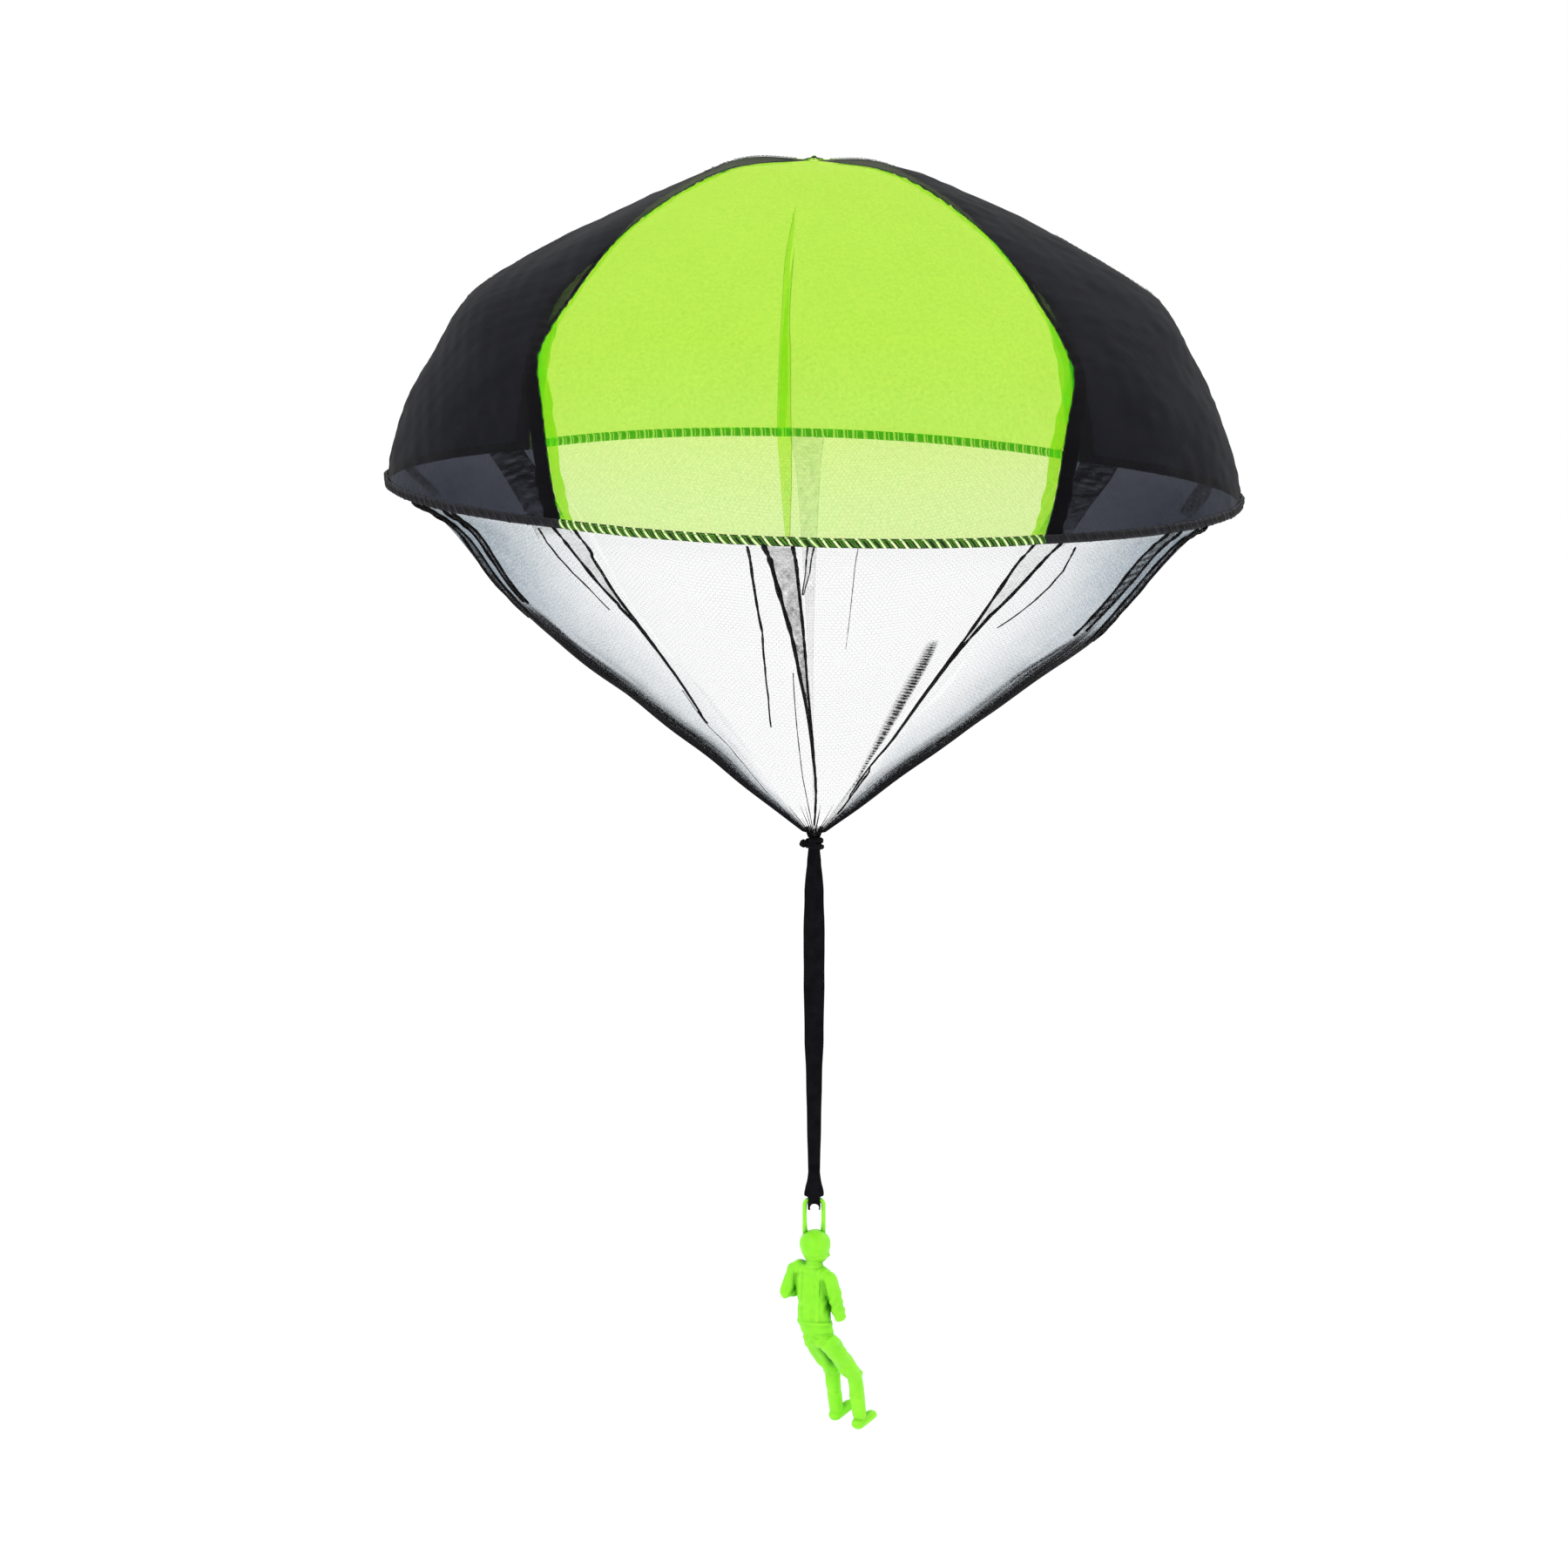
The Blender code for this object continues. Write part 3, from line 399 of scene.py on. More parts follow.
def new_material(name):
    """A material, its empty tree, and where each point lies on its object."""
    made = bpy.data.materials.new(name)
    made.use_nodes = True
    made.node_tree.nodes.clear()
    return made, made.node_tree, node(made.node_tree, "TexCoord").outputs["Object"]


def finished(made, shader):
    node(made.node_tree, "OutputMaterial", {"Surface": shader})
    return made


def maths(tree, kind, first, second, clamp=False):
    return node(tree, "Math", {0: first, 1: second}, operation=kind, use_clamp=clamp).outputs[0]


def spread(tree, value, low, high, new_low=0.0, new_high=1.0):
    """A value from low to high, as one between the new ends."""
    ends = {"From Min": low, "From Max": high, "To Min": new_low, "To Max": new_high}
    return node(tree, "MapRange", {"Value": value, **ends}).outputs["Result"]


def noise(tree, place, scale, detail):
    return node(tree, "TexNoise", {"Vector": place, "Scale": scale, "Detail": detail}).outputs["Fac"]


def mottled(tree, place, scale, low, high, detail=4.0):
    """A noise read as a number between low and high."""
    return spread(tree, noise(tree, place, scale, detail), 0.3, 0.7, low, high)


def two_colours(tree, factor, first, second):
    """A mix of two colours, each given or from another node."""
    ends = [c if isinstance(c, bpy.types.NodeSocket) else (*c, 1) for c in (first, second)]
    return node(tree, "Mix", {"Factor": factor, 6: ends[0], 7: ends[1]}, data_type="RGBA").outputs[2]


def stripes(tree, place, direction, scale, distortion, detail, detail_scale=1.0):
    inputs = {"Vector": place, "Scale": scale, "Distortion": distortion, "Detail": detail}
    inputs["Detail Scale"] = detail_scale
    return node(tree, "TexWave", inputs, bands_direction=direction).outputs["Fac"]


def bump(tree, height, strength, distance):
    inputs = {"Height": height, "Strength": strength, "Distance": distance}
    return node(tree, "Bump", inputs).outputs["Normal"]


def principled(tree, colour, rough, gloss, more=()):
    inputs = {"Base Color": colour, "Roughness": rough, "Specular IOR Level": gloss, **dict(more)}
    return node(tree, "BsdfPrincipled", inputs).outputs[0]


def mixed(tree, share, first, second):
    return node(tree, "MixShader", {0: share, 1: first, 2: second}).outputs[0]


def see_through(tree, colour):
    return node(tree, "BsdfTransparent", {"Color": colour}).outputs[0]


def sheer_cloth(name, clear_colours, clear_share, body, gloss, rough):
    """Thin woven nylon: light passes between its threads and scatters in them."""
    made, tree, place = new_material(name)
    crossing = [stripes(tree, place, way, 900.0, 0.6, 1.0) for way in ("X", "Z")]
    normal = bump(tree, maths(tree, "ADD", *crossing), 0.25, 0.0002)
    colour = two_colours(tree, mottled(tree, place, 42.0, 0.0, 1.0, 3.0), *body)
    reflect = principled(tree, colour, rough, gloss, {"Normal": normal})
    through = node(tree, "BsdfTranslucent", {"Color": colour, "Normal": normal}).outputs[0]
    level = node(tree, "SeparateXYZ", {0: place}).outputs["Z"]
    # From 12 to 45 mm above the rim the light let through shifts from the first clear colour to the
    # second; for the green cloth that is a deeper yellow-green higher up.
    near_rim = spread(tree, level, RIM_Z + 0.012, RIM_Z + 0.045)
    clear = see_through(tree, two_colours(tree, near_rim, *clear_colours))
    share = maths(tree, "MULTIPLY", clear_share, mottled(tree, place, 700.0, 0.94, 1.06, 2.0))
    return finished(made, mixed(tree, share, mixed(tree, 0.45, reflect, through), clear))


def thread_material(name, dark, light):
    """Twisted sewing thread."""
    made, tree, place = new_material(name)
    colour = two_colours(tree, mottled(tree, place, 260.0, 0.0, 1.0), dark, light)
    strands = stripes(tree, place, "DIAGONAL", 1300.0, 1.5, 2.0)
    normal = bump(tree, strands, 0.35, 0.0001)
    return finished(made, principled(tree, colour, 0.55, 0.25, {"Normal": normal}))


def set_cover(obj, share, painted_sheen=0.0):
    """Holds at each point how much of the net's surface its threads cover, and whether it is one
    thin layer, which gets a painted bluish sheen, or folds that lie close."""
    count = len(obj.data.vertices)
    for name, value in (("cover", share), ("painted_sheen", painted_sheen)):
        layer = obj.data.attributes.new(name, "FLOAT", "POINT")
        value = np.broadcast_to(np.ravel(np.asarray(value, np.float32)), (count,))
        layer.data.foreach_set("value", np.ascontiguousarray(value))


def net_material(name):
    """Fine black net: where one layer lies, a painted bluish sheen in the light let through; black
    where folds lie close.
    """
    made, tree, place = new_material(name)
    cover, painted_sheen = (node(tree, "Attribute", attribute_name=n).outputs["Fac"] for n in ("cover", "painted_sheen"))
    cells = node(tree, "TexVoronoi", {"Vector": place, "Scale": 620.0}, feature="DISTANCE_TO_EDGE")
    inward = cells.outputs["Distance"]
    edge = spread(tree, inward, 0.02, 0.20, 1.35, 0.8)
    drawn = maths(tree, "MULTIPLY", edge, mottled(tree, place, 90.0, 0.86, 1.14))
    share = maths(tree, "MULTIPLY", drawn, cover, clamp=True)
    # Painted sheen: on a single layer, the more its threads cover, the bluer the light let through.
    depth = maths(tree, "MULTIPLY", maths(tree, "MULTIPLY", share, painted_sheen), 2.0, clamp=True)
    clear = see_through(tree, two_colours(tree, depth, (1, 1, 1), (0.80, 0.91, 1.0)))
    colour = two_colours(tree, inward, (0.005, 0.0045, 0.006), (0.008, 0.0075, 0.010))
    return finished(made, mixed(tree, share, clear, principled(tree, colour, 0.8, 0.06)))


def knit_material(name):
    """Soft black knitted band: rows of small loops, a little fluff and a dull shine."""
    made, tree, place = new_material(name)
    rows = stripes(tree, place, "X", 260.0, 3.0, 2.0, 2.0)
    courses = stripes(tree, place, "Z", 420.0, 2.0, 1.0)
    height = maths(tree, "ADD", maths(tree, "ADD", rows, courses), noise(tree, place, 2400.0, 3.0))
    tone = mottled(tree, place, 220.0, 0.0, 1.0)
    colour = two_colours(tree, tone, (0.0024, 0.0022, 0.0032), (0.0066, 0.0062, 0.0084))
    normal = bump(tree, height, 0.6, 0.00018)
    return finished(made, principled(tree, colour, 0.85, 0.07, {"Normal": normal}))


def plastic_material(name):
    """Bright moulded plastic with a soft shine, faint flow marks and painted shade that darkens its
    folds and hollows to deep green.
    """
    made, tree, place = new_material(name)
    flow = mottled(tree, place, 130.0, 0.0, 1.0, 3.0)
    open_colour = two_colours(tree, flow, (0.235, 0.80, 0.012), (0.300, 0.86, 0.022))
    # Painted shade: where ambient occlusion finds the surface closed in, the colour turns deep green.
    hollow = node(tree, "AmbientOcclusion", {"Distance": 0.0045}, samples=8).outputs["AO"]
    colour = two_colours(tree, spread(tree, hollow, 0.40, 1.0), (0.030, 0.27, 0.003), open_colour)
    glow = {"Weight": 0.12, "Radius": (0.4, 1.0, 0.15), "Scale": 0.002}
    more = {f"Subsurface {key}": value for key, value in glow.items()}
    more["Normal"] = bump(tree, noise(tree, place, 1500.0, 2.0), 0.08, 0.0002)
    rough = mottled(tree, place, 300.0, 0.34, 0.48)
    return finished(made, principled(tree, colour, rough, 0.3, more))


GREEN_BODY = ((0.08, 0.92, 0.010), (0.12, 0.97, 0.020))
GREEN_CLEAR = ((0.985, 0.915, 0.52), (0.965, 0.905, 0.39))
BLACK_BODY = ((0.006, 0.006, 0.008), (0.010, 0.010, 0.013))
BLACK_CLEAR = ((0.68, 0.72, 0.92), (0.70, 0.74, 0.96))
CLOTHS = {
    True: sheer_cloth("sheer_green_cloth", GREEN_CLEAR, 0.69, GREEN_BODY, 0.25, 0.45),
    False: sheer_cloth("sheer_black_cloth", BLACK_CLEAR, 0.076, BLACK_BODY, 0.06, 0.50),
}
# Near-white green thread for the overlock strands that stand for light glinting on the hem: a painted
# highlight.
HIGHLIGHT_THREAD = thread_material("painted_highlight_thread", (0.66, 0.92, 0.34), (0.88, 1.0, 0.56))
GREEN_THREAD = thread_material("green_thread", (0.050, 0.20, 0.006), (0.120, 0.36, 0.014))
DEEP_THREAD = thread_material("deep_green_thread", (0.004, 0.014, 0.003), (0.010, 0.042, 0.004))
BLACK_THREAD = thread_material("black_thread", (0.005, 0.005, 0.007), (0.016, 0.016, 0.020))
NET_THREADS = thread_material("net_thread", (0.014, 0.014, 0.020), (0.034, 0.034, 0.045))
THREADS = {True: GREEN_THREAD, False: BLACK_THREAD}
NET = net_material("net")
KNIT = knit_material("black_knit")
PLASTIC = plastic_material("green_plastic")


def lay(pieces, body="canopy_and_net"):
    """Puts pieces on a body."""
    for piece in pieces:
        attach(piece, body)


# The canopy


def run_lengths(points, axis):
    """How far each point of a grid lies from its first row or column, along the grid."""
    first = np.take(points, [0], axis)
    return np.linalg.norm(np.diff(points, axis=axis, prepend=first), axis=-1).cumsum(axis=axis)


def puckers(along, lengths, seed, height, away, fade):
    """Small waves along a sewn line, which die out away from it."""
    return rough_line(along, *lengths, 7, seed) * height * np.exp(-away / fade)


def wrinkles(panel, place, across, points):
    """How far the cloth stands off its plain form, in metres: soft slack, and puckers beside
    the seams, the dart and the hem."""
    number = list(PANELS).index(panel)
    down, over = run_lengths(points, 0), run_lengths(points, 1)
    width = over[:, -1:]
    from_seam = np.minimum(over, width - over)
    from_dart = np.abs(over - width * DART_SHARE[panel])
    from_hem = down[-1:] - down
    slack = 0.00045 * waves(points, 0.022, 0.07, 14, 11 + number)
    slack = slack + 0.00016 * waves(points, 0.008, 0.02, 14, 31 + number)
    along = down + np.where(across < 0.5, 0.0, 0.37)
    seamed = puckers(along, (0.0042, 0.0095), 51 + number, 0.00026, from_seam, 0.0065)
    darted = puckers(down, (0.0040, 0.0085), 71 + number, 0.00028, from_dart, 0.0055)
    hemmed = puckers(over, (0.0045, 0.010), 91 + number, 0.00030, from_hem, 0.0060)
    hold = ramp(place, 0.02, 0.14) * np.clip(from_hem / 0.004, 0.25, 1)
    hold = hold * np.clip(from_seam / 0.002, 0.2, 1)
    loose = slack + darted * ramp(place, DART_START, 0.6) + hemmed
    return loose * hold + seamed * ramp(place, 0.06, 0.2)


BASE = {}
for panel in PANELS:
    rows, shares = (np.linspace(0.0, 1.0, count) for count in BASE_GRID)
    surface = canopy_surface(panel, rows[:, None], shares[None])
    BASE[panel] = (
        normals_of(surface),
        wrinkles(panel, rows[:, None], np.broadcast_to(shares, BASE_GRID), surface),
        np.linalg.norm(np.diff(surface, axis=1), axis=-1).sum(axis=1),
    )


def read_grid(values, place, across):
    """A dense grid of values, read between its points."""
    u = np.clip(place, 0, 1) * (values.shape[0] - 1)
    v = np.clip(across, 0, 1) * (values.shape[1] - 1)
    i = np.minimum(u.astype(int), values.shape[0] - 2)
    j = np.minimum(v.astype(int), values.shape[1] - 2)
    s, t = u - i, v - j
    if values.ndim == 3:
        s, t = s[..., None], t[..., None]
    top = values[i, j] * (1 - t) + values[i, j + 1] * t
    low = values[i + 1, j] * (1 - t) + values[i + 1, j + 1] * t
    return top * (1 - s) + low * s


def cloth_points(panel, place, across, inset):
    """Points of the sewn cloth with its wrinkles, moved inwards from the outer face."""
    place, across = floats(place, across)
    normal, wrinkle, _ = BASE[panel]
    plain = canopy_surface(panel, place, across)
    away = read_grid(normal, place, across)
    return plain + away * (read_grid(wrinkle, place, across) - inset)[..., None]


def panel_width(panel, place):
    return np.interp(place, np.linspace(0, 1, BASE_GRID[0]), BASE[panel][2])


def hem_top(panel):
    """The place of the hem's upper edge on the panel, found by halving."""
    rim = canopy_surface(panel, 1.0, 0.5)
    low, high = 0.8, 1.0
    for _ in range(20):
        middle = (low + high) / 2
        if canopy_surface(panel, middle, 0.5)[2] - rim[2] > HEM_HALF * 0.4:
            low = middle
        else:
            high = middle
    return low


HEM_TOP = {panel: hem_top(panel) for panel in PANELS}
CROWN_PLACE = 0.45 * CROWN_RADIUS / (CANOPY_RADIUS * MERIDIANS[1][0]) / (len(MERIDIANS) - 1)


def dart_shares(panel, place):
    """The two edges of the dart's tuck, as shares across the panel."""
    if panel == "front":
        keys, left, right = zip(*FRONT_TUCK)
        return np.interp(place, keys, left), np.interp(place, keys, right)
    tuck = read_table(DART_TUCK, place) / panel_width(panel, place)
    return DART_SHARE[panel] - tuck, np.full(len(place), DART_SHARE[panel])


canopy_sheets = {}
for panel in PANELS:
    green = panel in GREEN_PANELS
    name, cloth = f"canopy_{panel}", CLOTHS[green]
    place = np.linspace(CROWN_PLACE, HEM_TOP[panel], CLOTH_GRID[0])[:, None]
    points = cloth_points(panel, place, np.linspace(0, 1, CLOTH_GRID[1])[None], CLOTH_INSET)
    sheet = grid_object(f"{name}_cloth", points, cloth)

    place = np.linspace(0.035, HEM_TOP[panel], ALLOWANCE_GRID[0])
    edge = np.minimum(read_table(ALLOWANCE, place) / panel_width(panel, place), 0.2)
    ragged = edge * (1 + 0.05 * rough_line(place * 0.2, 0.006, 0.02, 6, 17))
    share = np.linspace(0.001, 1, ALLOWANCE_GRID[1])[None] * ragged[:, None]
    second = share * (0.93 * ramp(place, 0.60, 0.74)[:, None])
    parts = []
    for layer, folded in ((1, share), (2, second), (1, 1 - share), (2, 1 - second)):
        strip = cloth_points(panel, place[:, None], folded, CLOTH_INSET + LAYER * layer)
        parts.append((strip, grid_faces(*ALLOWANCE_GRID)))
    strips = mesh_object(f"{name}_seam_allowances", *joined(parts), cloth)

    place = np.linspace(0.31, HEM_TOP[panel], TUCK_GRID[0])
    left, right = dart_shares(panel, place)
    share = right[:, None] + (left - right)[:, None] * np.linspace(0, 1, TUCK_GRID[1])[None]
    strip = cloth_points(panel, place[:, None], share, CLOTH_INSET + LAYER)
    dart = grid_object(f"{name}_dart_tuck", strip, cloth)
    lay((sheet, strips, dart))
    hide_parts(name)
    canopy_sheets[panel] = (sheet, strips, dart, points)

# Stitches: short threads along a line on the cloth


def stitch_row(line, outward, length, gap, radius, lift, seed):
    """A row of stitches that dip into the cloth between one and the next."""
    along = arc_length(line)
    count = max(int(along[-1] / (length + gap)), 1)
    parts = []
    source = np.random.default_rng(seed)
    for k in range(count):
        start = (k + 0.12 + 0.04 * source.normal()) * (length + gap)
        at = np.linspace(start, start + length, 6)
        rise = np.sin(np.linspace(0.12, 1, 6) ** 0.9 * math.pi * 0.94) * lift
        away = unit(read_path(at, along, outward))
        path = read_path(at, along, line) + away * rise[:, None]
        parts.append(sweep(path, radius, away, 5))
    return joined(parts)


for seam in SEAMS:
    panel = next(p for p in PANELS if PANELS[p][0] == seam)
    place = np.linspace(0.03, HEM_TOP[panel], 500)
    line = cloth_points(panel, place, 0.0, 0.0)
    outward = read_grid(BASE[panel][0], place, np.full(500, 0.02))
    sewn = stitch_row(line, outward, *SEAM_STITCH)
    piece = mesh_object(f"seam_{seam}_stitches", *sewn, BLACK_THREAD)
    lay([piece])
    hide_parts(f"seam_thread_{seam}")

for panel in PANELS:
    green = panel in GREEN_PANELS
    place = np.linspace(0.34, HEM_TOP[panel], 400)
    seam = dart_shares(panel, place)[1]
    line = cloth_points(panel, place, seam, -0.00004)
    sewn = stitch_row(line, read_grid(BASE[panel][0], place, seam), *DART_STITCH)
    lay([mesh_object(f"dart_{panel}_stitches", *sewn, THREADS[green])])

# The overlocked hems: a rolled edge, wound over by slanting threads


def hem_frame(panel):
    """Points along the rim, with the directions up and out."""
    line = canopy_surface(panel, 1.0, np.linspace(0, 1, RIM_POINTS))
    along = unit(np.gradient(line, axis=0))
    up = unit(np.array([0.0, 0.0, 1.0]) - along * along[:, 2:])
    return line, up, np.cross(along, up)


for number, panel in enumerate(PANELS):
    green, far = panel in GREEN_PANELS, panel == "back"
    line, up, outward = hem_frame(panel)
    run = arc_length(line)
    total = run[-1]
    sway = 0.00018 * rough_line(run, 0.012, 0.05, 7, 111 + number)
    turn = circle(16)
    high = (HEM_HALF - 0.00020) * rounded(np.sin(turn), 0.8)
    wide = 0.00062 * np.cos(turn)
    ring = line[:, None] + up[:, None] * high[None, :, None]
    ring = ring + outward[:, None] * wide[None, :, None] + outward[:, None] * sway[:, None, None]
    edge_tone, tones = BLACK_THREAD, (BLACK_THREAD,) * 3
    if green:
        # On the near green hem the rolled edge is deep green, near black: painted shadow beneath the
        # wound threads.
        edge_tone = GREEN_THREAD if far else DEEP_THREAD
        # On green hems the first strand, and on the far hem the third too, is near white as a painted
        # highlight on the wound threads.
        tones = (HIGHLIGHT_THREAD, GREEN_THREAD, HIGHLIGHT_THREAD if far else GREEN_THREAD)
    base = grid_object(f"hem_{panel}_rolled_edge", ring, edge_tone, closed=True)
    turns = int(total / OVERLOCK_PITCH)
    made = [base]
    for strand, (tone, thick) in enumerate(zip(tones, OVERLOCK_THREADS)):
        share = np.linspace(0, 1, turns * 22)
        phase = 2 * math.pi * (turns * share - strand / 3)
        phase = phase + 0.5 * rough_line(share * total, 0.006, 0.03, 6, 131 + strand)
        at = np.clip(share * total - 0.0007 * np.cos(phase), 0, total)
        centre, top, out = (read_path(at, run, part) for part in (line, up, outward))
        uneven = 1 + 0.07 * rough_line(at, 0.004, 0.02, 5, 151 + strand)
        rise = (HEM_HALF - OVERLOCK_INSIDE) * np.cos(phase) * uneven
        reach = OVERLOCK_REACH * np.sin(phase) + np.interp(at, run, sway)
        path = centre + top * rise[:, None] + out * reach[:, None]
        hint = out * np.sin(phase)[:, None] + top * np.cos(phase)[:, None] * 0.6
        wound = sweep(path, thick, hint, 6, 0.72)
        made.append(mesh_object(f"hem_{panel}_overlock_{strand + 1}", *wound, tone))
    inner = line + up * (HEM_HALF - 0.0009) + outward * (0.00100 + sway)[:, None]
    sewn = stitch_row(inner, outward, *NEEDLE_STITCH)
    made.append(mesh_object(f"hem_{panel}_needle_stitches", *sewn, THREADS[green]))
    lay(made)
    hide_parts(f"hem_{panel}")

# The crown: the gathered tips of the panels under a tack of thread

CROWN_PROFILE = (
    (0.03, -0.00012),
    (0.10, -0.0003),
    (0.17, -0.0011),
    (0.40, -0.00155),
    (0.75, -0.00185),
    (1.0, -0.0021),
)
turn = circle(96)
fluted = np.cos(turn * 8)
levels = []
for share, z in CROWN_PROFILE:
    radius = share * CROWN_RADIUS * (1 + 0.10 * fluted * (share > 0.12)) * 0.96
    levels.append(ring_points(radius, turn, z + 0.00018 * fluted * share))
crown = grid_object("crown_gathered_tips", np.array(levels), CLOTHS[True], closed=True)
parts = []
for k in range(9):
    angle = 2 * math.pi * k / 9 + 0.2 * rng.normal()
    share = np.linspace(0.14, 0.92 + 0.06 * rng.normal(), 8)
    path = ring_points(share * CROWN_RADIUS, angle, read_table(CROWN_PROFILE, share) + 0.00012)
    parts.append(sweep(path, 0.00016, (0, 0, 1), 6))
for share, z in ((0.17, -0.00075), (0.19, -0.0010), (0.21, -0.00125)):
    path = ring_points(share * CROWN_RADIUS, turn, z + 0.0001 * np.sin(turn))
    parts.append(sweep(path, 0.00017, (0, 0, 1), 6, ends=False))
tack = mesh_object("crown_tack", *joined(parts), DEEP_THREAD)
lay([crown])
lay([tack])
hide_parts("crown_stitch")

# The net: four gores of fine hexagonal net, with folded pleats

# How much the threads cover down each gore at its sides; on these single layers this also sets the
# painted bluish sheen.
SIDE_COVER_AND_SHEEN = ((0.0, 0.24), (0.12, 0.32), (0.25, 0.30), (0.40, 0.19), (0.6, 0.17), (0.85, 0.22), (1.0, 0.3))
NET_HOLLOW = 0.0046
HOLLOW_PLACE = 0.31
HOLLOW_REACH = 0.14


def net_surface(panel, place, across, lift=0.0):
    """Points of the net, place from hem to knot and across from seam to seam."""
    place, across = floats(place, across)
    row = smooth_rows(NET_MERIDIAN, place)
    share, depth = row[..., 0], row[..., 1]
    centre = np.sin(np.pi * across)
    rim = (MERIDIANS[-1][2] + (MERIDIANS[-1][0] - MERIDIANS[-1][2]) * centre) * CANOPY_RADIUS
    first, last = panel_edges(panel, 1.0)
    radius = GATHER_RADIUS + (rim - GATHER_RADIUS) * share
    sag = NET_SAG * np.sin(2 * np.pi * across) ** 2 * 4 * share * (1 - share)
    below = HEM_HALF * 0.6
    slope = math.hypot(CANOPY_RADIUS, NET_DEPTH)
    arch = RIM_ARCH_SHARE[panel] * CANOPY_HEIGHT * centre * (1 - depth)
    z = RIM_Z + arch - below - depth * (NET_DEPTH - below) - lift * CANOPY_RADIUS / slope
    hollow = NET_HOLLOW * np.exp(-(((place - HOLLOW_PLACE) / HOLLOW_REACH) ** 2))
    radius = radius - sag - hollow + lift * NET_DEPTH / slope
    return around(radius, first + (last - first) * across, z)


def net_points(panel, place, across, lift=0.0):
    """The same with soft slack, which ends at the hem and at the knot."""
    points = net_surface(panel, place, across)
    height = (RIM_Z - points[..., 2]) / NET_DEPTH
    hold = ramp(height, 0.0, 0.12) * (1 - ramp(height, 0.75, 0.98))
    slack = 0.0011 * waves(points, 0.035, 0.09, 12, 211 + list(PANELS).index(panel)) * hold
    return net_surface(panel, place, across, lift + slack)


def net_at(angles, places, lift):
    """Points of the net by angle in degrees from the front, also across its seams."""
    angles, places, lift = floats(angles, places, lift)
    points = np.zeros(angles.shape + (3,))
    for panel in PANELS:
        first, last = np.degrees(panel_edges(panel, 1.0))
        turned = (angles - first) % 360
        inside = turned <= last - first + 1e-6
        if inside.any():
            share = np.minimum(turned[inside] / (last - first), 1)
            points[inside] = net_points(panel, places[inside], share, lift[inside])
    return points


def outward_of(line):
    """The way that the outer side of the net faces, near enough for a thread's flat side."""
    return unit(line - (0, 0, RIM_Z))


def honeycomb(width, height, side):
    """The edges of a honeycomb over a rectangle that starts at (-width/2, 0): pairs of ends."""
    step_x, step_y = math.sqrt(3) * side, 1.5 * side
    rows, columns = int(height / step_y) + 3, int(width / step_x) + 4
    j, i = np.meshgrid(np.arange(rows), np.arange(columns), indexing="ij")
    x = (i + 0.5 * (j % 2)) * step_x - width / 2 - step_x
    y = j * step_y - side
    top, low = (np.stack([x, y + way * side / 2], -1) for way in (1, -1))
    right, left = (np.stack([x + way * step_x / 2, y + side], -1) for way in (1, -1))
    pairs = ((low, top), (top, right), (top, left))
    return np.concatenate([np.stack(pair, -2).reshape(-1, 2, 2) for pair in pairs])


def prisms(starts, ends, radius, hints):
    """A three-sided thread along each edge."""
    along = unit(ends - starts)
    normal = unit(hints - (hints * along).sum(-1, keepdims=True) * along)
    side = np.cross(along, normal)
    turn = np.arange(3) * 2 * math.pi / 3
    ring = np.cos(turn)[None, :, None] * normal[:, None] + np.sin(turn)[None, :, None] * side[:, None]
    ring = ring * radius
    points = np.concatenate([starts[:, None] + ring, ends[:, None] + ring], axis=1)
    first = np.arange(len(starts))[:, None, None] * 6
    faces = np.array([[0, 1, 4, 3], [1, 2, 5, 4], [2, 0, 3, 5]])[None] + first
    return points.reshape(-1, 3), faces.reshape(-1, 4)


net_sheets = {}
for panel in PANELS:
    place, across = (np.linspace(0, end, count) for end, count in zip((0.985, 1), NET_GRID))
    points = net_points(panel, place[:, None], across[None])
    sheet = grid_object(f"net_{panel}_gore", points, NET)
    first, last = np.degrees(panel_edges(panel, 1.0))
    turned = np.abs((first + (last - first) * across[None] + 180) % 360 - 180)
    drawn = ramp(turned, 38, 76) * (1 - ramp(turned, 100, 140))
    set_cover(sheet, 0.005 + read_table(SIDE_COVER_AND_SHEEN, place)[:, None] * drawn**1.3, 1.0)

    # The threads: a honeycomb on the flat gore, of which the edges inside it are kept
    steps = np.linspace(0, 1, 200)
    down = arc_length(net_surface(panel, steps, 0.5))
    slant = down[-1] + GATHER_RADIUS
    spread_angle = math.radians(last - first) * CANOPY_RADIUS / slant
    edges = honeycomb(2 * slant * math.sin(min(spread_angle / 2, 1.5)) + 0.01, slant, HEXAGON)
    edges = edges + rng.uniform(-0.3, 0.3, 2) * HEXAGON
    over, up = edges[..., 0], slant - edges[..., 1]
    reach = np.hypot(over, up)
    share = 0.5 + np.arctan2(over, up) / spread_angle
    placed = np.interp(slant - reach, down, steps)
    inside = (share > 0) & (share < 1) & (reach < slant) & (placed < 0.94) & (up > 0)
    keep = inside.all(axis=1)
    starts, ends = np.moveaxis(net_points(panel, placed[keep], share[keep]), 1, 0)
    drawn = prisms(starts, ends, NET_THREAD, starts - (0, 0, RIM_Z))
    threads = mesh_object(f"net_{panel}_threads", *drawn, NET_THREADS, smooth=False)
    lay((sheet, threads))
    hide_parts(f"net_{panel}")
    net_sheets[panel] = (sheet, threads)

# Each pleat: its places, the angles of its two folded edges there; then how thick its two
# creases are at the hem and at the other end, in millimetres; then how much of it the threads
# cover at both ends, and how much of its creases

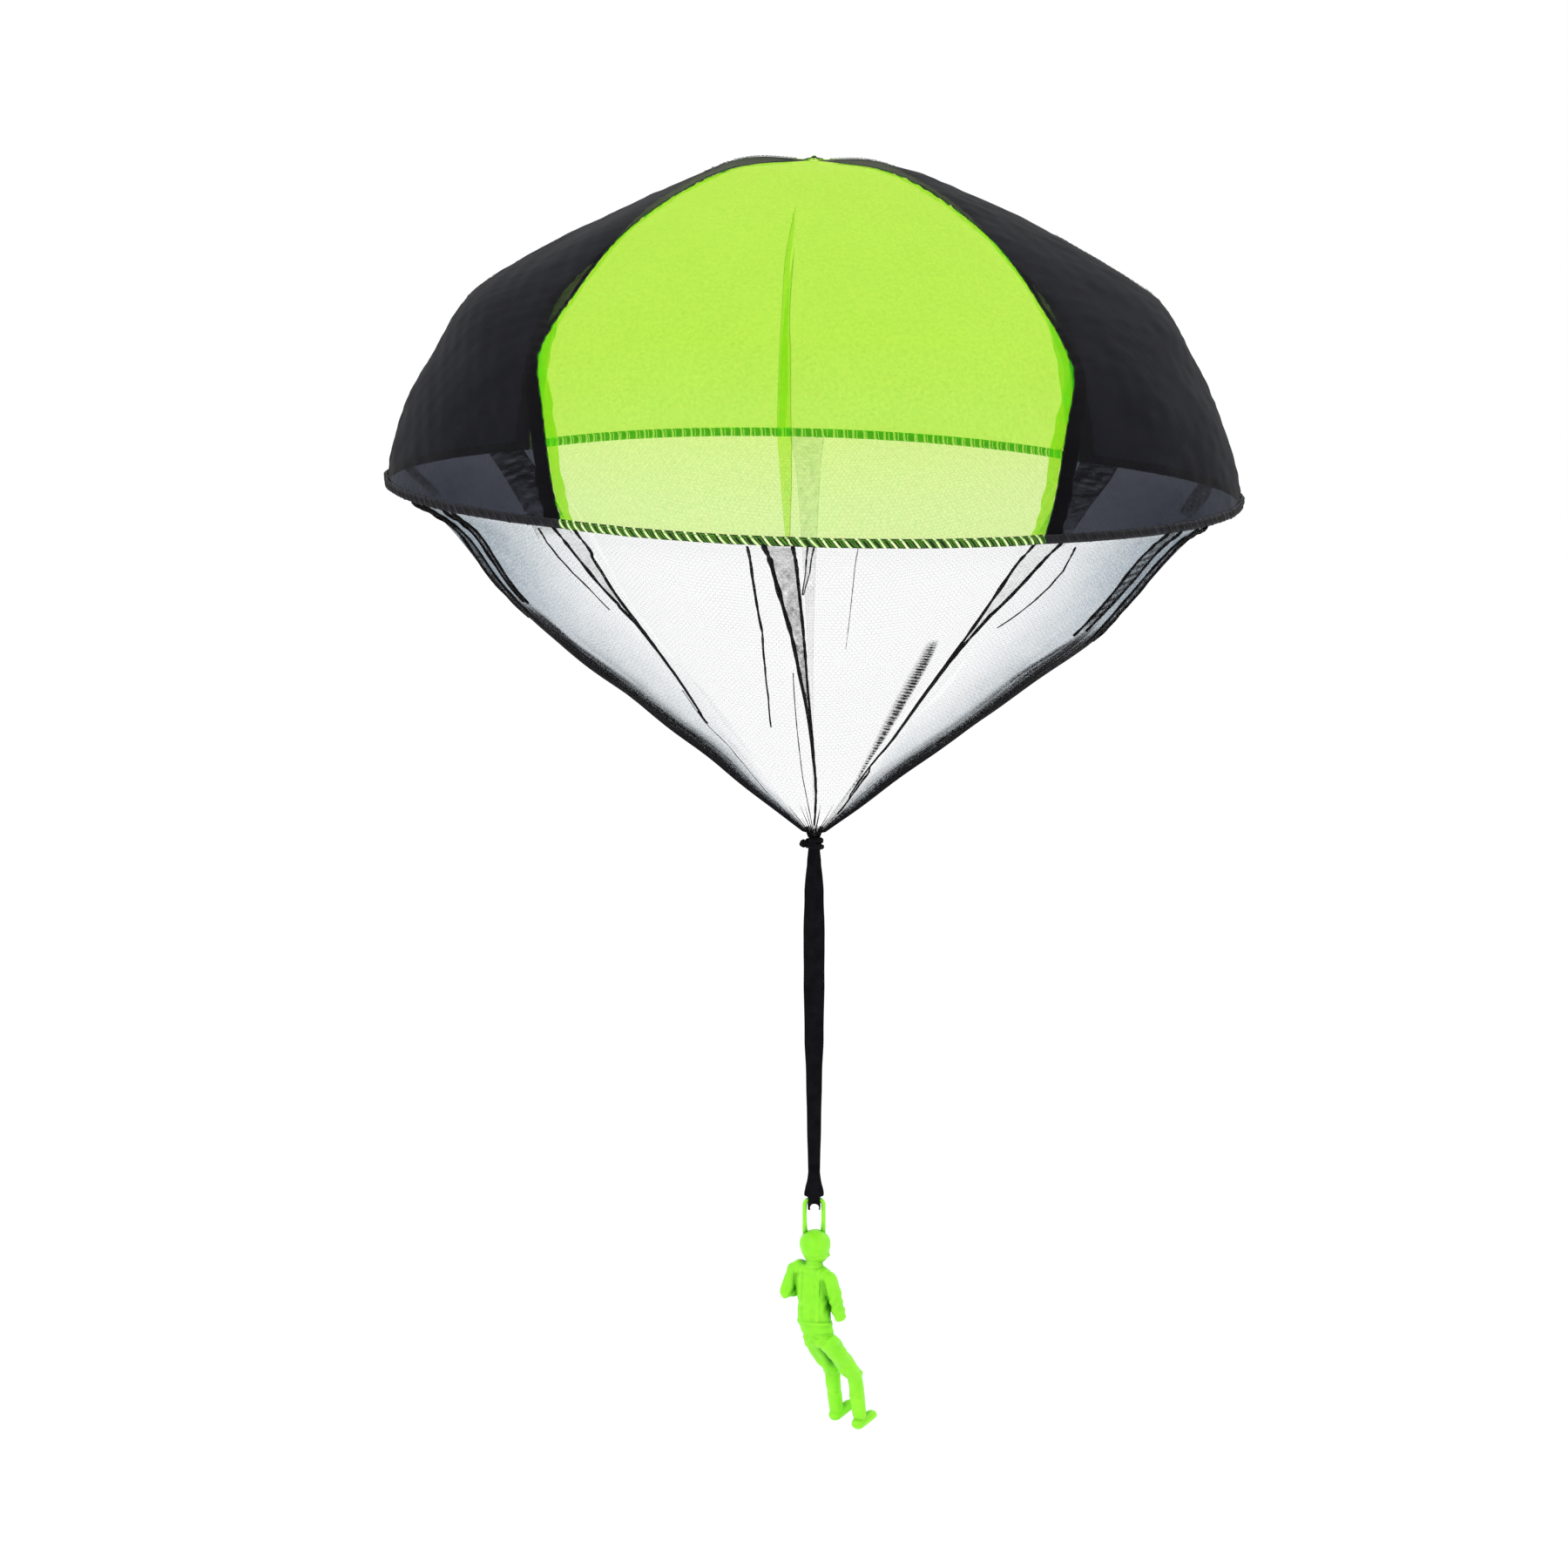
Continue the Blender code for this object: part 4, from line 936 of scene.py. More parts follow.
PLEATS = {
    "front_centre": (
        (0, 0.16, 0.29, 0.46, 0.52, 0.67, 0.75, 0.85, 0.95),
        (-6.4, -5.9, -4.2, -3.0, -2.1, -0.6, 0.9, 1.6, 0.5),
        (-2.7, -2.4, -1.9, -1.5, -1.3, -0.2, 1.2, 2.2, 1.5),
        ((1.15, 0.42), (0.85, 0.3)),
        (0.2, 0.55),
        0.98,
    ),
    "front_small": (
        (0, 0.15, 0.21),
        (-0.8, -1.2, -1.8),
        (0.0, -0.6, -1.6),
        ((0.42, 0.26), (0.4, 0.24)),
        (0.02, 0.08),
        0.8,
    ),
    "front_left_seam": (
        (0, 0.12, 0.17, 0.21, 0.24, 0.28, 0.35, 0.44, 0.49, 0.54, 0.6),
        (-39.0, -41.0, -41.1, -40.7, -39.9, -37.6, -36.0, -35.0, -35.6, -36.9, -39.4),
        (-34.7, -37.6, -38.3, -38.0, -37.2, -36.4, -35.5, -34.6, -35.2, -36.5, -39.0),
        ((1.1, 0.46), (1.15, 0.4)),
        (0.05, 0.45),
        0.98,
    ),
    "front_right_seam": (
        (0, 0.12, 0.17, 0.2, 0.25, 0.29, 0.36, 0.42, 0.5, 0.61, 0.67, 0.76, 0.82, 0.89),
        (31.6, 33.9, 34.0, 33.4, 31.6, 30.8, 29.7, 28.6, 28.8, 30.5, 33.1, 34.0, 33.6, 36.5),
        (36.4, 37.5, 37.5, 36.7, 34.6, 32.7, 30.5, 29.2, 29.3, 30.9, 33.5, 34.4, 34.0, 37.0),
        ((1.05, 0.4), (1.15, 0.4)),
        (0.05, 0.45),
        0.98,
    ),
    "left_outer_pair": (
        (0, 0.13, 0.26, 0.4),
        (-68, -73.2, -77.4, -78.5),
        (-64.5, -68.8, -71.6, -71.5),
        ((1.05, 1.45), (0.95, 1.2)),
        (0.36, 0.62),
        0.97,
    ),
    "left_inner_pair": (
        (0, 0.1, 0.2, 0.32),
        (-59.5, -62.8, -66.2, -67.6),
        (-57.5, -61.0, -64.2, -66.0),
        ((1.1, 1.2), (1.1, 1.2)),
        (0.34, 0.55),
        0.98,
    ),
    "right_outer_pair": (
        (0, 0.1, 0.18, 0.28, 0.42),
        (62.3, 68.0, 71.8, 73.6, 73.4),
        (64.8, 71.6, 76.2, 78.6, 78.4),
        ((0.95, 1.2), (1.05, 1.45)),
        (0.36, 0.62),
        0.97,
    ),
    "right_inner_pair": (
        (0, 0.12, 0.22, 0.36),
        (55.5, 60.0, 60.8, 60.0),
        (58.3, 63.4, 66.0, 64.8),
        ((1.05, 1.15), (1.05, 1.15)),
        (0.36, 0.58),
        0.98,
    ),
    "back_left_seam": (
        (0, 0.1, 0.16, 0.2, 0.26),
        (229.8, 231.5, 232.3, 232.3, 232.7),
        (236.2, 238.8, 240.4, 240.9, 241.9),
        ((0.3, 0.14), (0.3, 0.14)),
        (0.6, 0.0),
        0.4,
    ),
    "back_right_seam": (
        (0, 0.09, 0.144, 0.2, 0.26),
        (128.5, 126.3, 125.3, 125.5, 125.7),
        (135.2, 133.7, 133.2, 133.1, 133.1),
        ((0.3, 0.14), (0.3, 0.14)),
        (0.6, 0.0),
        0.4,
    ),
    "back_dart": (
        (0, 0.2, 0.6, 0.9),
        (178.6, 179.2, 180.4, 180.6),
        (183.5, 182.6, 181.6, 181.4),
        ((0.14, 0.1), (0.14, 0.1)),
        (0.09, 0.03),
        0.1,
    ),
    "back_left_side": (
        (0, 0.07, 0.12),
        (255.5, 258.3, 260.5),
        (258.3, 261.6, 264),
        ((0.3, 0.14), (0.3, 0.14)),
        (0.45, 0.2),
        0.6,
    ),
    "back_right_side": (
        (0, 0.07, 0.13),
        (105.6, 100.9, 97),
        (109.4, 105.9, 102.6),
        ((0.3, 0.14), (0.3, 0.14)),
        (0.45, 0.2),
        0.6,
    ),
}

PLEAT_SHARES = np.concatenate([np.linspace(1, 0, 7), [-0.03], np.linspace(0, 1, 7)])
PLEAT_LIFTS = np.concatenate([np.linspace(0.25, 0.55, 7), [0.8], np.linspace(1.0, 1.3, 7)]) * 0.001
CREASE_LIFT = 0.0008


def smoothed(values):
    """Values along a line with their corners rounded."""
    weights = np.hanning(15)[1:-1]
    return np.convolve(np.pad(values, 6, mode="edge"), weights / weights.sum(), "valid")


def crease(line, run, thick, thin, seed):
    """A thread-like fold along a line, thicker at one end."""
    size = np.linspace(thick, thin, len(line)) * 0.001
    size = size * (1 + 0.18 * rough_line(run * 0.24, 0.006, 0.03, 6, seed))
    return sweep(line, size, outward_of(line), 7, 0.5)


for name, (*columns, creased, cover, edge_cover) in PLEATS.items():
    place, *edges = run_down(columns, PLEAT_ROWS)
    left, right = (smoothed(edge) for edge in edges)
    along = np.linspace(0, 1, PLEAT_ROWS)
    fade = 1 - 0.6 * along
    angles = left[:, None] + (right - left)[:, None] * PLEAT_SHARES[None]
    points = net_at(angles, place[:, None], PLEAT_LIFTS[None] * fade[:, None])
    fold = grid_object(f"net_pleat_{name}", points, NET)
    crumple = 1 + 0.55 * waves(points, 0.0012, 0.0040, 16, 283)
    late = along ** (3.2 if cover[1] == 0 else 1.6)
    end = 1 - ramp(along, 0.85, 1.0) * name.endswith("pair")
    set_cover(fold, ((cover[0] + (cover[1] - cover[0]) * late) * end)[:, None] * crumple)
    parts = []
    for edge, sizes, seed in zip((left, right), creased, (307, 311)):
        parts.append(crease(net_at(edge, place, CREASE_LIFT * fade), place, *sizes, seed))
    creases = mesh_object(f"net_pleat_{name}_creases", *joined(parts), NET)
    set_cover(creases, edge_cover)
    lay((fold, creases))

# Loose creases of the net: places and angles, their thickness at both ends in mm, their cover

CREASES = {
    "front_thin": (
        ((0.02, 0.17, 0.32, 0.44, 0.52, 0.6), (-8.6, -9.2, -9.1, -10.1, -11.5, -14.1)),
        (0.75, 0.34),
        0.9,
    ),
    "left_side": (
        ((0.03, 0.12, 0.17, 0.21, 0.24, 0.29), (-42.6, -44.9, -45.2, -44.6, -43.2, -41.0)),
        (0.85, 0.3),
        0.97,
    ),
    "right_side": (
        ((0.05, 0.17, 0.21, 0.24, 0.27, 0.31), (40.4, 43.6, 43.1, 41.7, 39.7, 37.0)),
        (0.85, 0.3),
        0.97,
    ),
    "front_faint": (((0.0, 0.18, 0.36), (5.6, 5.9, 5.8)), (0.3, 0.14), 0.5),
    "low_left": (
        ((0.45, 0.54, 0.64, 0.74, 0.85, 0.97), (-4.3, -4.9, -5.7, -6.4, -5.9, -4.9)),
        (0.24, 0.2),
        0.75,
    ),
    "left_low": (
        ((0.52, 0.58, 0.64, 0.7, 0.78, 0.85, 0.92), (-37.8, -38.7, -41.3, -44.0, -42.6, -44.5, -50)),
        (0.3, 0.2),
        0.6,
    ),
}

parts, covers = [], []
for columns, sizes, cover in CREASES.values():
    place, angle = run_down(columns, 70)
    parts.append(crease(net_at(angle, place, 0.0003), place, *sizes, 331))
    covers.append(np.full(len(parts[-1][0]), cover))
creases = mesh_object("net_creases", *joined(parts), NET)
set_cover(creases, np.concatenate(covers))

# Bunched net: bands of fine folds down both sides, and one soft streak at the front. The
# columns are place, the angles of the band's two edges, and how dark those edges are

SIDE_BUNCHES = {
    "left": (
        (0.29, 0.38, 0.43, 0.48, 0.55, 0.6, 0.68, 0.77, 0.87, 0.99),
        (-64, -63, -62.5, -59, -55, -51, -44, -37, -29, -22),
        (-109, -109, -109, -109, -109, -109, -109, -109, -109, -109),
        (0.6, 0.75, 0.7, 0.5, 0.25, 0.12, 0.08, 0.08, 0.1, 0.5),
        (0.95, 1.0, 1.0, 1.0, 1.0, 1.0, 1.0, 1.0, 1.0, 1.0),
    ),
    "right": (
        (0.33, 0.4, 0.51, 0.59, 0.66, 0.74, 0.83, 0.99),
        (61, 58, 57, 53, 47, 37, 28, 22),
        (109, 109, 109, 109, 109, 109, 109, 109),
        (0.6, 0.75, 0.5, 0.25, 0.12, 0.08, 0.1, 0.5),
        (0.95, 1.0, 1.0, 1.0, 1.0, 1.0, 1.0, 1.0),
    ),
}
STREAK = (
    (0.335, 0.45, 0.53, 0.6, 0.68, 0.76, 0.84, 0.91),
    (21.4, 20.7, 21.4, 22.3, 25.4, 29.0, 26.4, 23.6),
    (24.4, 24.9, 26.0, 27.3, 30.0, 33.4, 30, 27),
    (0.2, 0.2, 0.2, 0.2, 0.15, 0.1, 0.1, 0.05),
    (0.9, 1.0, 1.0, 0.95, 0.85, 0.7, 0.45, 0.2),
)


def band_columns(columns, grid):
    """Places down a band, shares over it, the angles there, its first edge and its tones."""
    place, edge, other, soft, hard = (values[:, None] for values in run_down(columns, grid[0]))
    share = np.linspace(0, 1, grid[1])[None]
    return place, share, edge + (other - edge) * share, edge, soft, hard


def folded_band(name, place, share, angle, folds, height):
    """A band of fine folds down the net, and how its ridges run."""
    drift = 0.12 * rough_line(place, 0.12, 0.4, 6, 341)
    uneven = 1.5 * np.sin(11 * share + 0.7) + 0.9 * np.sin(24 * share + 2.0)
    ridges = np.cos(share * folds * 2 * math.pi + uneven + drift) * (0.78 + 0.22 * np.sin(41 * share))
    rise = ramp(place, place[0], place[0] + 0.25) * (1 - 0.6 * place)
    ends = np.minimum(np.minimum(share, 1 - share) * 8, 1)
    lift = 0.0003 + height * (0.5 + 0.5 * ridges) * ends * rise
    return grid_object(f"net_bunch_{name}", net_at(angle, place, lift), NET), ridges


bunches = []
for name, columns in SIDE_BUNCHES.items():
    place, share, angle, edge, soft, hard = band_columns(columns, (150, 105))
    band, ridges = folded_band(name, place, share, angle, 17, 0.0015)
    angle, edge = np.abs(angle), np.abs(edge)
    over = (angle - edge) / (97 - edge)
    cover = soft * ramp(over, 0, 0.02) + (hard - soft) * ramp(over, -0.02, 0.5 * (1.04 - soft))
    cover = cover * (0.95 + 0.32 * ridges) * (1 - ramp(angle, 93, 109))
    ragged = 0.5 + 0.3 * np.sin(31 * share + 1.0) + 0.2 * np.sin(67 * share)
    sideways = ramp(angle, 74, 100)
    begin = place[0] - 0.02 + (0.04 + 0.09 * sideways) * ragged + 0.12 * ramp(angle, 88, 109)
    set_cover(band, cover * ramp((place - begin) / (0.09 + 0.13 * sideways), 0, 1))
    bunches.append(band)

place, share, angle, _, soft, hard = band_columns(STREAK, (560, 17))
band, _ = folded_band("streak", place, share, angle, 3, 0.0004)
drawn = soft + (hard - soft) * np.exp(-(((share - 0.62) / 0.30) ** 2))
strokes = np.sin(place * 760 - share * 5 + 1.2 * rough_line(place, 0.01, 0.04, 6, 347))
cover = drawn * (0.95 + 0.45 * strokes) * np.minimum(np.minimum(share, 1 - share) * 6, 1)
set_cover(band, cover * ramp(place, place[0] - 0.01, place[0] + 0.03))
bunches.append(band)

# Where the net is drawn together: fluted folds that run into the knot

turn = circle(144)
levels = []
for s in np.linspace(0, 1, 14)[7:]:
    z = GATHER_Z + 0.0075 * (1 - s) - (GATHER_LENGTH + 0.0012) * s
    radius = np.interp(s, (0, 0.55, 1), (0.0096, GATHER_RADIUS * 1.05, KNOT_RADIUS * 0.72))
    flute = (0.16 + 0.10 * s) * np.cos(13 * turn + 0.8 * np.sin(3 * turn))
    flute = flute * np.interp(s, (0, 0.4, 1), (0.5, 1, 0.6))
    levels.append(ring_points(radius * (1 + flute), turn, z))
gather = grid_object("net_gathered_neck", np.array(levels), NET, closed=True)
set_cover(gather, np.repeat(np.linspace(0.35, 1.0, 7) ** 0.7, 144))
parts = []
for k in range(22):
    angle = 360 * (k + 0.3 * rng.normal()) / 22 - 180
    place = np.linspace(0.90 + 0.03 * rng.uniform(), 1.0, 14)
    if -14 < angle < 20:
        continue
    line = net_at((angle + 180) % 360 - 180.0, place, 0.0)
    tail = (line[-1] - (0, 0, 0.0012)) * (0.8, 0.8, 1)
    line = np.vstack([line, tail])
    parts.append(sweep(line, np.linspace(0.00006, 0.00028, 15), outward_of(line), 6, 0.7))
folds = mesh_object("net_gathered_folds", *joined(parts), NET)
set_cover(folds, 0.9)
lay((creases, gather, folds, *bunches))
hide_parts("net_gather")

# Soft skins: several closed shapes as one, rounded where they meet


def mesh_data(name, mesh):
    """A bmesh as mesh data."""
    data = bpy.data.meshes.new(name)
    mesh.to_mesh(data)
    mesh.free()
    return data


def filled(rings):
    """A closed tube of rings with both ends filled, as a bmesh."""
    mesh = bmesh.new()
    verts = [mesh.verts.new(p) for p in rings.reshape(-1, 3)]
    rows, columns = rings.shape[:2]
    for face in grid_faces(rows, columns, True):
        mesh.faces.new([verts[k] for k in face])
    mesh.faces.new(verts[:columns])
    mesh.faces.new(list(reversed(verts[-columns:])))
    bmesh.ops.recalc_face_normals(mesh, faces=mesh.faces)
    return mesh


def changed(obj, kind, **settings):
    modifier = obj.modifiers.new(kind, kind)
    for key, value in settings.items():
        setattr(modifier, key, value)


def skin(name, meshes, voxel, smooth, surface, cutters=()):
    """One skin over closed shapes, less the cutters, as a smooth mesh object."""
    whole = bmesh.new()
    for mesh in meshes:
        data = mesh_data("piece", mesh)
        whole.from_mesh(data)
        bpy.data.meshes.remove(data)
    obj = linked(name, mesh_data(name, whole))
    for cutter in cutters:
        changed(obj, "BOOLEAN", operation="DIFFERENCE", object=cutter)
    changed(obj, "REMESH", mode="VOXEL", voxel_size=voxel)
    changed(obj, "SMOOTH", factor=0.5, iterations=smooth)
    graph = bpy.context.evaluated_depsgraph_get()
    made = bpy.data.meshes.new_from_object(obj.evaluated_get(graph))
    for done in (obj, *cutters):
        bpy.data.objects.remove(done, do_unlink=True)
    made.materials.clear()
    made.materials.append(surface)
    made.shade_smooth()
    return linked(name, made)


def displaced(obj, amount):
    """Moves each point along its normal by amount(points)."""
    data = obj.data
    points = np.empty(len(data.vertices) * 3)
    data.vertices.foreach_get("co", points)
    points = points.reshape(-1, 3)
    normals = np.array([v.normal[:] for v in data.vertices])
    points = points + normals * amount(points)[:, None]
    data.vertices.foreach_set("co", points.ravel())
    data.update()


def swept(path, radius, hint, sides, flat=1.0):
    points, _ = sweep(path, radius, hint, sides, flat)
    return filled(points.reshape(-1, sides, 3))


# The knot: the band wound round the net's neck, drawn tight, with its loose end

share = np.linspace(0, 1, int(28 * KNOT_TURNS) + 1)
turn = math.pi * 1.5 + 2 * math.pi * KNOT_TURNS * (share - 0.5)
z = KNOT_Z + KNOT_TURNS * KNOT_PITCH * (0.5 - share)
reach = KNOT_RADIUS * (1 + 0.05 * np.sin(3 * turn + 1))
wound = ring_points(reach, turn, z + 0.0004 * np.sin(2 * turn))
core = [(0, 0, KNOT_TOP - 0.0003), (0, 0, KNOT_Z), (0, 0, KNOT_BOTTOM + 0.0002)]
crossing = (
    (-0.0024, -0.0028, KNOT_TOP - 0.0012),
    (0.0004, -0.0040, KNOT_Z + 0.0002),
    (0.0030, -0.0026, KNOT_BOTTOM + 0.0016),
)
thin = 0.75 * KNOT_CORD
out = KNOT_RADIUS + KNOT_CORD + GAP + thin
spread_angle = TAIL_LENGTH / out
at = np.linspace(-math.pi / 2 - spread_angle / 2, -math.pi / 2 + spread_angle / 2, 14)
loose = ring_points(out, at, KNOT_Z + 0.0006 * np.sin(at * 2))
loose = np.vstack([loose, (-0.0035, 0.0024, KNOT_Z - 0.0004)])
coils = [
    swept(wound, KNOT_CORD * 1.02, wound * (1, 1, 0), 14),
    swept(core, np.array([0.0021, 0.0029, 0.0022]), (0, 1, 0), 18),
    swept(crossing, np.array([0.0007, 0.00085, 0.0007]), (0, -1, 0), 12, 0.8),
]
knot = skin("knot_of_the_band", coils, 0.00016, 4, KNIT)
end = swept(loose, thin, loose * (1, 1, 0), 12, 0.95)
tail = skin("knot_loose_end", [end], 0.00014, 3, KNIT)
for piece in (knot, tail):
    displaced(piece, lambda p: 0.00013 * waves(p, 0.0012, 0.0040, 12, 401))
lay((knot, tail))
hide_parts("knot")
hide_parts("knot_tail")

# The band from the knot to the figure's ring, by level: width and thickness

BAND_RUN = FORE_SWING_Z - TWIST_Z
BAND_SHARES = (
    (0.06, 0.90, STRAP_THICKNESS),
    (0.20, 1.00, STRAP_THICKNESS),
    (0.38, 0.98, STRAP_THICKNESS),
    (0.56, 0.89, STRAP_THICKNESS),
    (0.70, 0.75, STRAP_THICKNESS * 1.25),
    (0.88, 0.65, STRAP_FOLD * 0.9),
)
BAND_LEVELS = (
    (KNOT_BOTTOM + 0.0022, 0.0050, 0.0036),
    (KNOT_BOTTOM, 0.0054, 0.0031),
    (SIDE_SWING_Z, NECK_WIDTH, STRAP_FOLD),
    (SIDE_SWING_Z - NECK_LENGTH / 2, NECK_WIDTH * 1.06, (STRAP_FOLD + STRAP_THICKNESS) / 2),
    (FORE_SWING_Z, NECK_WIDTH * 1.18, STRAP_THICKNESS * 1.05),
    *((FORE_SWING_Z - BAND_RUN * down, STRAP_WIDTH * wide, thick) for down, wide, thick in BAND_SHARES),
    (TWIST_Z, STRAP_WIDTH * 0.56, STRAP_FOLD),
    (TWIST_Z - 0.0039, LOOP_WIDTH * 0.72, STRAP_FOLD),
    (TWIST_Z - 0.0078, LOOP_WIDTH * 0.93, STRAP_FOLD * 1.25),
    (TWIST_Z - 0.0110, LOOP_WIDTH, 2 * (BAR_BORE + LOOP_CLOTH)),
)


def band_rings(top, bottom):
    """Rings of the band's soft flat section at even levels: thick rolled edges, a slight
    hollow between, and a lengthwise fold where it narrows."""
    levels = np.linspace(top, bottom, max(int((top - bottom) / 0.0005), 3))
    keys, widths, depths = np.transpose(BAND_LEVELS)
    width, thick = (np.interp(-levels, -keys, values)[:, None] for values in (widths, depths))
    width = width + 0.00014 * rough_line(levels, 0.012, 0.05, 7, 421)[:, None]
    turn = circle(BAND_SIDES)
    wide, round_edge = rounded(np.cos(turn), 0.75), rounded(np.sin(turn), 0.55)
    middle = 1 - 0.20 * np.exp(-((wide / 0.55) ** 2))
    x = wide * width / 2
    curl = 0.00035 * rough_line(levels, 0.03, 0.09, 5, 431)[:, None]
    y = round_edge * middle * thick / 2 + curl * (1 - wide**2)
    loops = 0.00003 * rough_line(levels, 0.0011, 0.0019, 5, 441)[:, None]
    ribs = 0.00004 * np.sin(x / 0.00085 * 2 * math.pi) + loops
    y = y + ribs * np.sign(round_edge)
    return np.stack([x, y, np.broadcast_to(levels[:, None], x.shape)], -1)


def band_piece(name, top, bottom):
    piece = grid_object(name, band_rings(top, bottom), KNIT, closed=True)
    return piece


NECK_MIDDLE = (SIDE_SWING_Z + FORE_SWING_Z) / 2
NECK_END = FORE_SWING_Z - NECK_LENGTH / 2
TWIST_TOP = TWIST_Z + 0.0105
TWIST_END = TWIST_Z - 0.0040
stem = band_piece("band_from_the_knot", KNOT_BOTTOM + 0.0021, NECK_MIDDLE)
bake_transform(stem)
neck = band_piece("band_neck", NECK_MIDDLE, NECK_END)
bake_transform(neck)
band = band_piece("band", NECK_END, TWIST_TOP)
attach(band, "strap")
twist = band_piece("band_folded_lower_end", TWIST_TOP, TWIST_END)
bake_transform(twist)

# The folded end, by level: width and thickness, with a bore for the ring

wall = BAR_BORE + LOOP_CLOTH
shoulder = BAR_Z + BAR_BORE + GAP
inner = RING_WIDTH - 2 * (RING_WIRE + RUNNING_GAP)
LOOP_LEVELS = (
    (TWIST_END - 0.0002, LOOP_WIDTH * 0.725, STRAP_FOLD),
    (TWIST_Z - 0.0078, LOOP_WIDTH * 0.93, (STRAP_FOLD + 2 * wall) / 2),
    (shoulder + 3 * GAP, LOOP_WIDTH * 1.01, 2 * wall),
    (shoulder + GAP, LOOP_WIDTH * 0.98, 2 * wall),
    (shoulder + GAP / 3, LOOP_WIDTH * 0.91, 2 * wall),
    (shoulder - GAP / 3, (LOOP_WIDTH * 0.85 + inner) / 2, 2 * wall),
    (shoulder - GAP, inner, 2 * wall),
    (BAR_Z, inner, 2 * wall),
    (BAR_Z - wall * 0.7, inner, 2 * wall * 0.82),
    (BAR_Z - wall, inner, 2 * wall * 0.62),
    (BAR_Z - wall - LOOP_TIP * 0.6, inner * 0.99, wall * 0.8),
    (BAR_Z - wall - LOOP_TIP, inner * 0.94, wall * 0.7),
)
levels = [band_rings(TWIST_END + 0.0004, TWIST_END - 0.0001)[0]]
turn = circle(BAND_SIDES)
for z, width, thick in LOOP_LEVELS:
    x = rounded(np.cos(turn), 0.6) * width / 2
    y = rounded(np.sin(turn), 0.6) * thick / 2
    levels.append(np.stack([x, y, np.full_like(x, z)], -1))


def cutter(radius, depth, sides, place, axis):
    mesh = bmesh.new()
    spin = Matrix.Translation(place) @ Matrix.Rotation(math.pi / 2, 4, axis)
    size = {"radius1": radius, "radius2": radius, "depth": depth}
    bmesh.ops.create_cone(mesh, cap_ends=True, segments=sides, matrix=spin, **size)
    return linked("cutter", mesh_data("cutter", mesh))


cutters = (
    cutter(BAR_BORE, 2 * LOOP_WIDTH, 48, (0, 0, BAR_Z), "Y"),
    cutter(LOOP_TIP * 0.74, 4 * wall, 40, (0.0002, 0, BAR_Z - BAR_BORE - LOOP_TIP * 0.95), "X"),
    cutter(LOOP_TIP * 0.70, 4 * wall, 40, (0.0003, 0, BAR_Z - BAR_BORE - LOOP_TIP * 1.55), "X"),
)
loop = skin("band_loop", [filled(np.array(levels))], 0.00014, 3, KNIT, cutters)


def knitted(points):
    """How far the loop's cloth stands off, with nothing near the bore."""
    clear = np.abs(points[:, 2] - BAR_Z) > 0.0018
    return 0.00006 * waves(points, 0.0011, 0.0035, 12, 461) * clear


displaced(loop, knitted)
lay([loop], "strap_loop")
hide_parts("strap_loop")
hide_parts("strap_neck")
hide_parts("strap")

# The figure: one moulding, with the plain details of a jumper's clothes

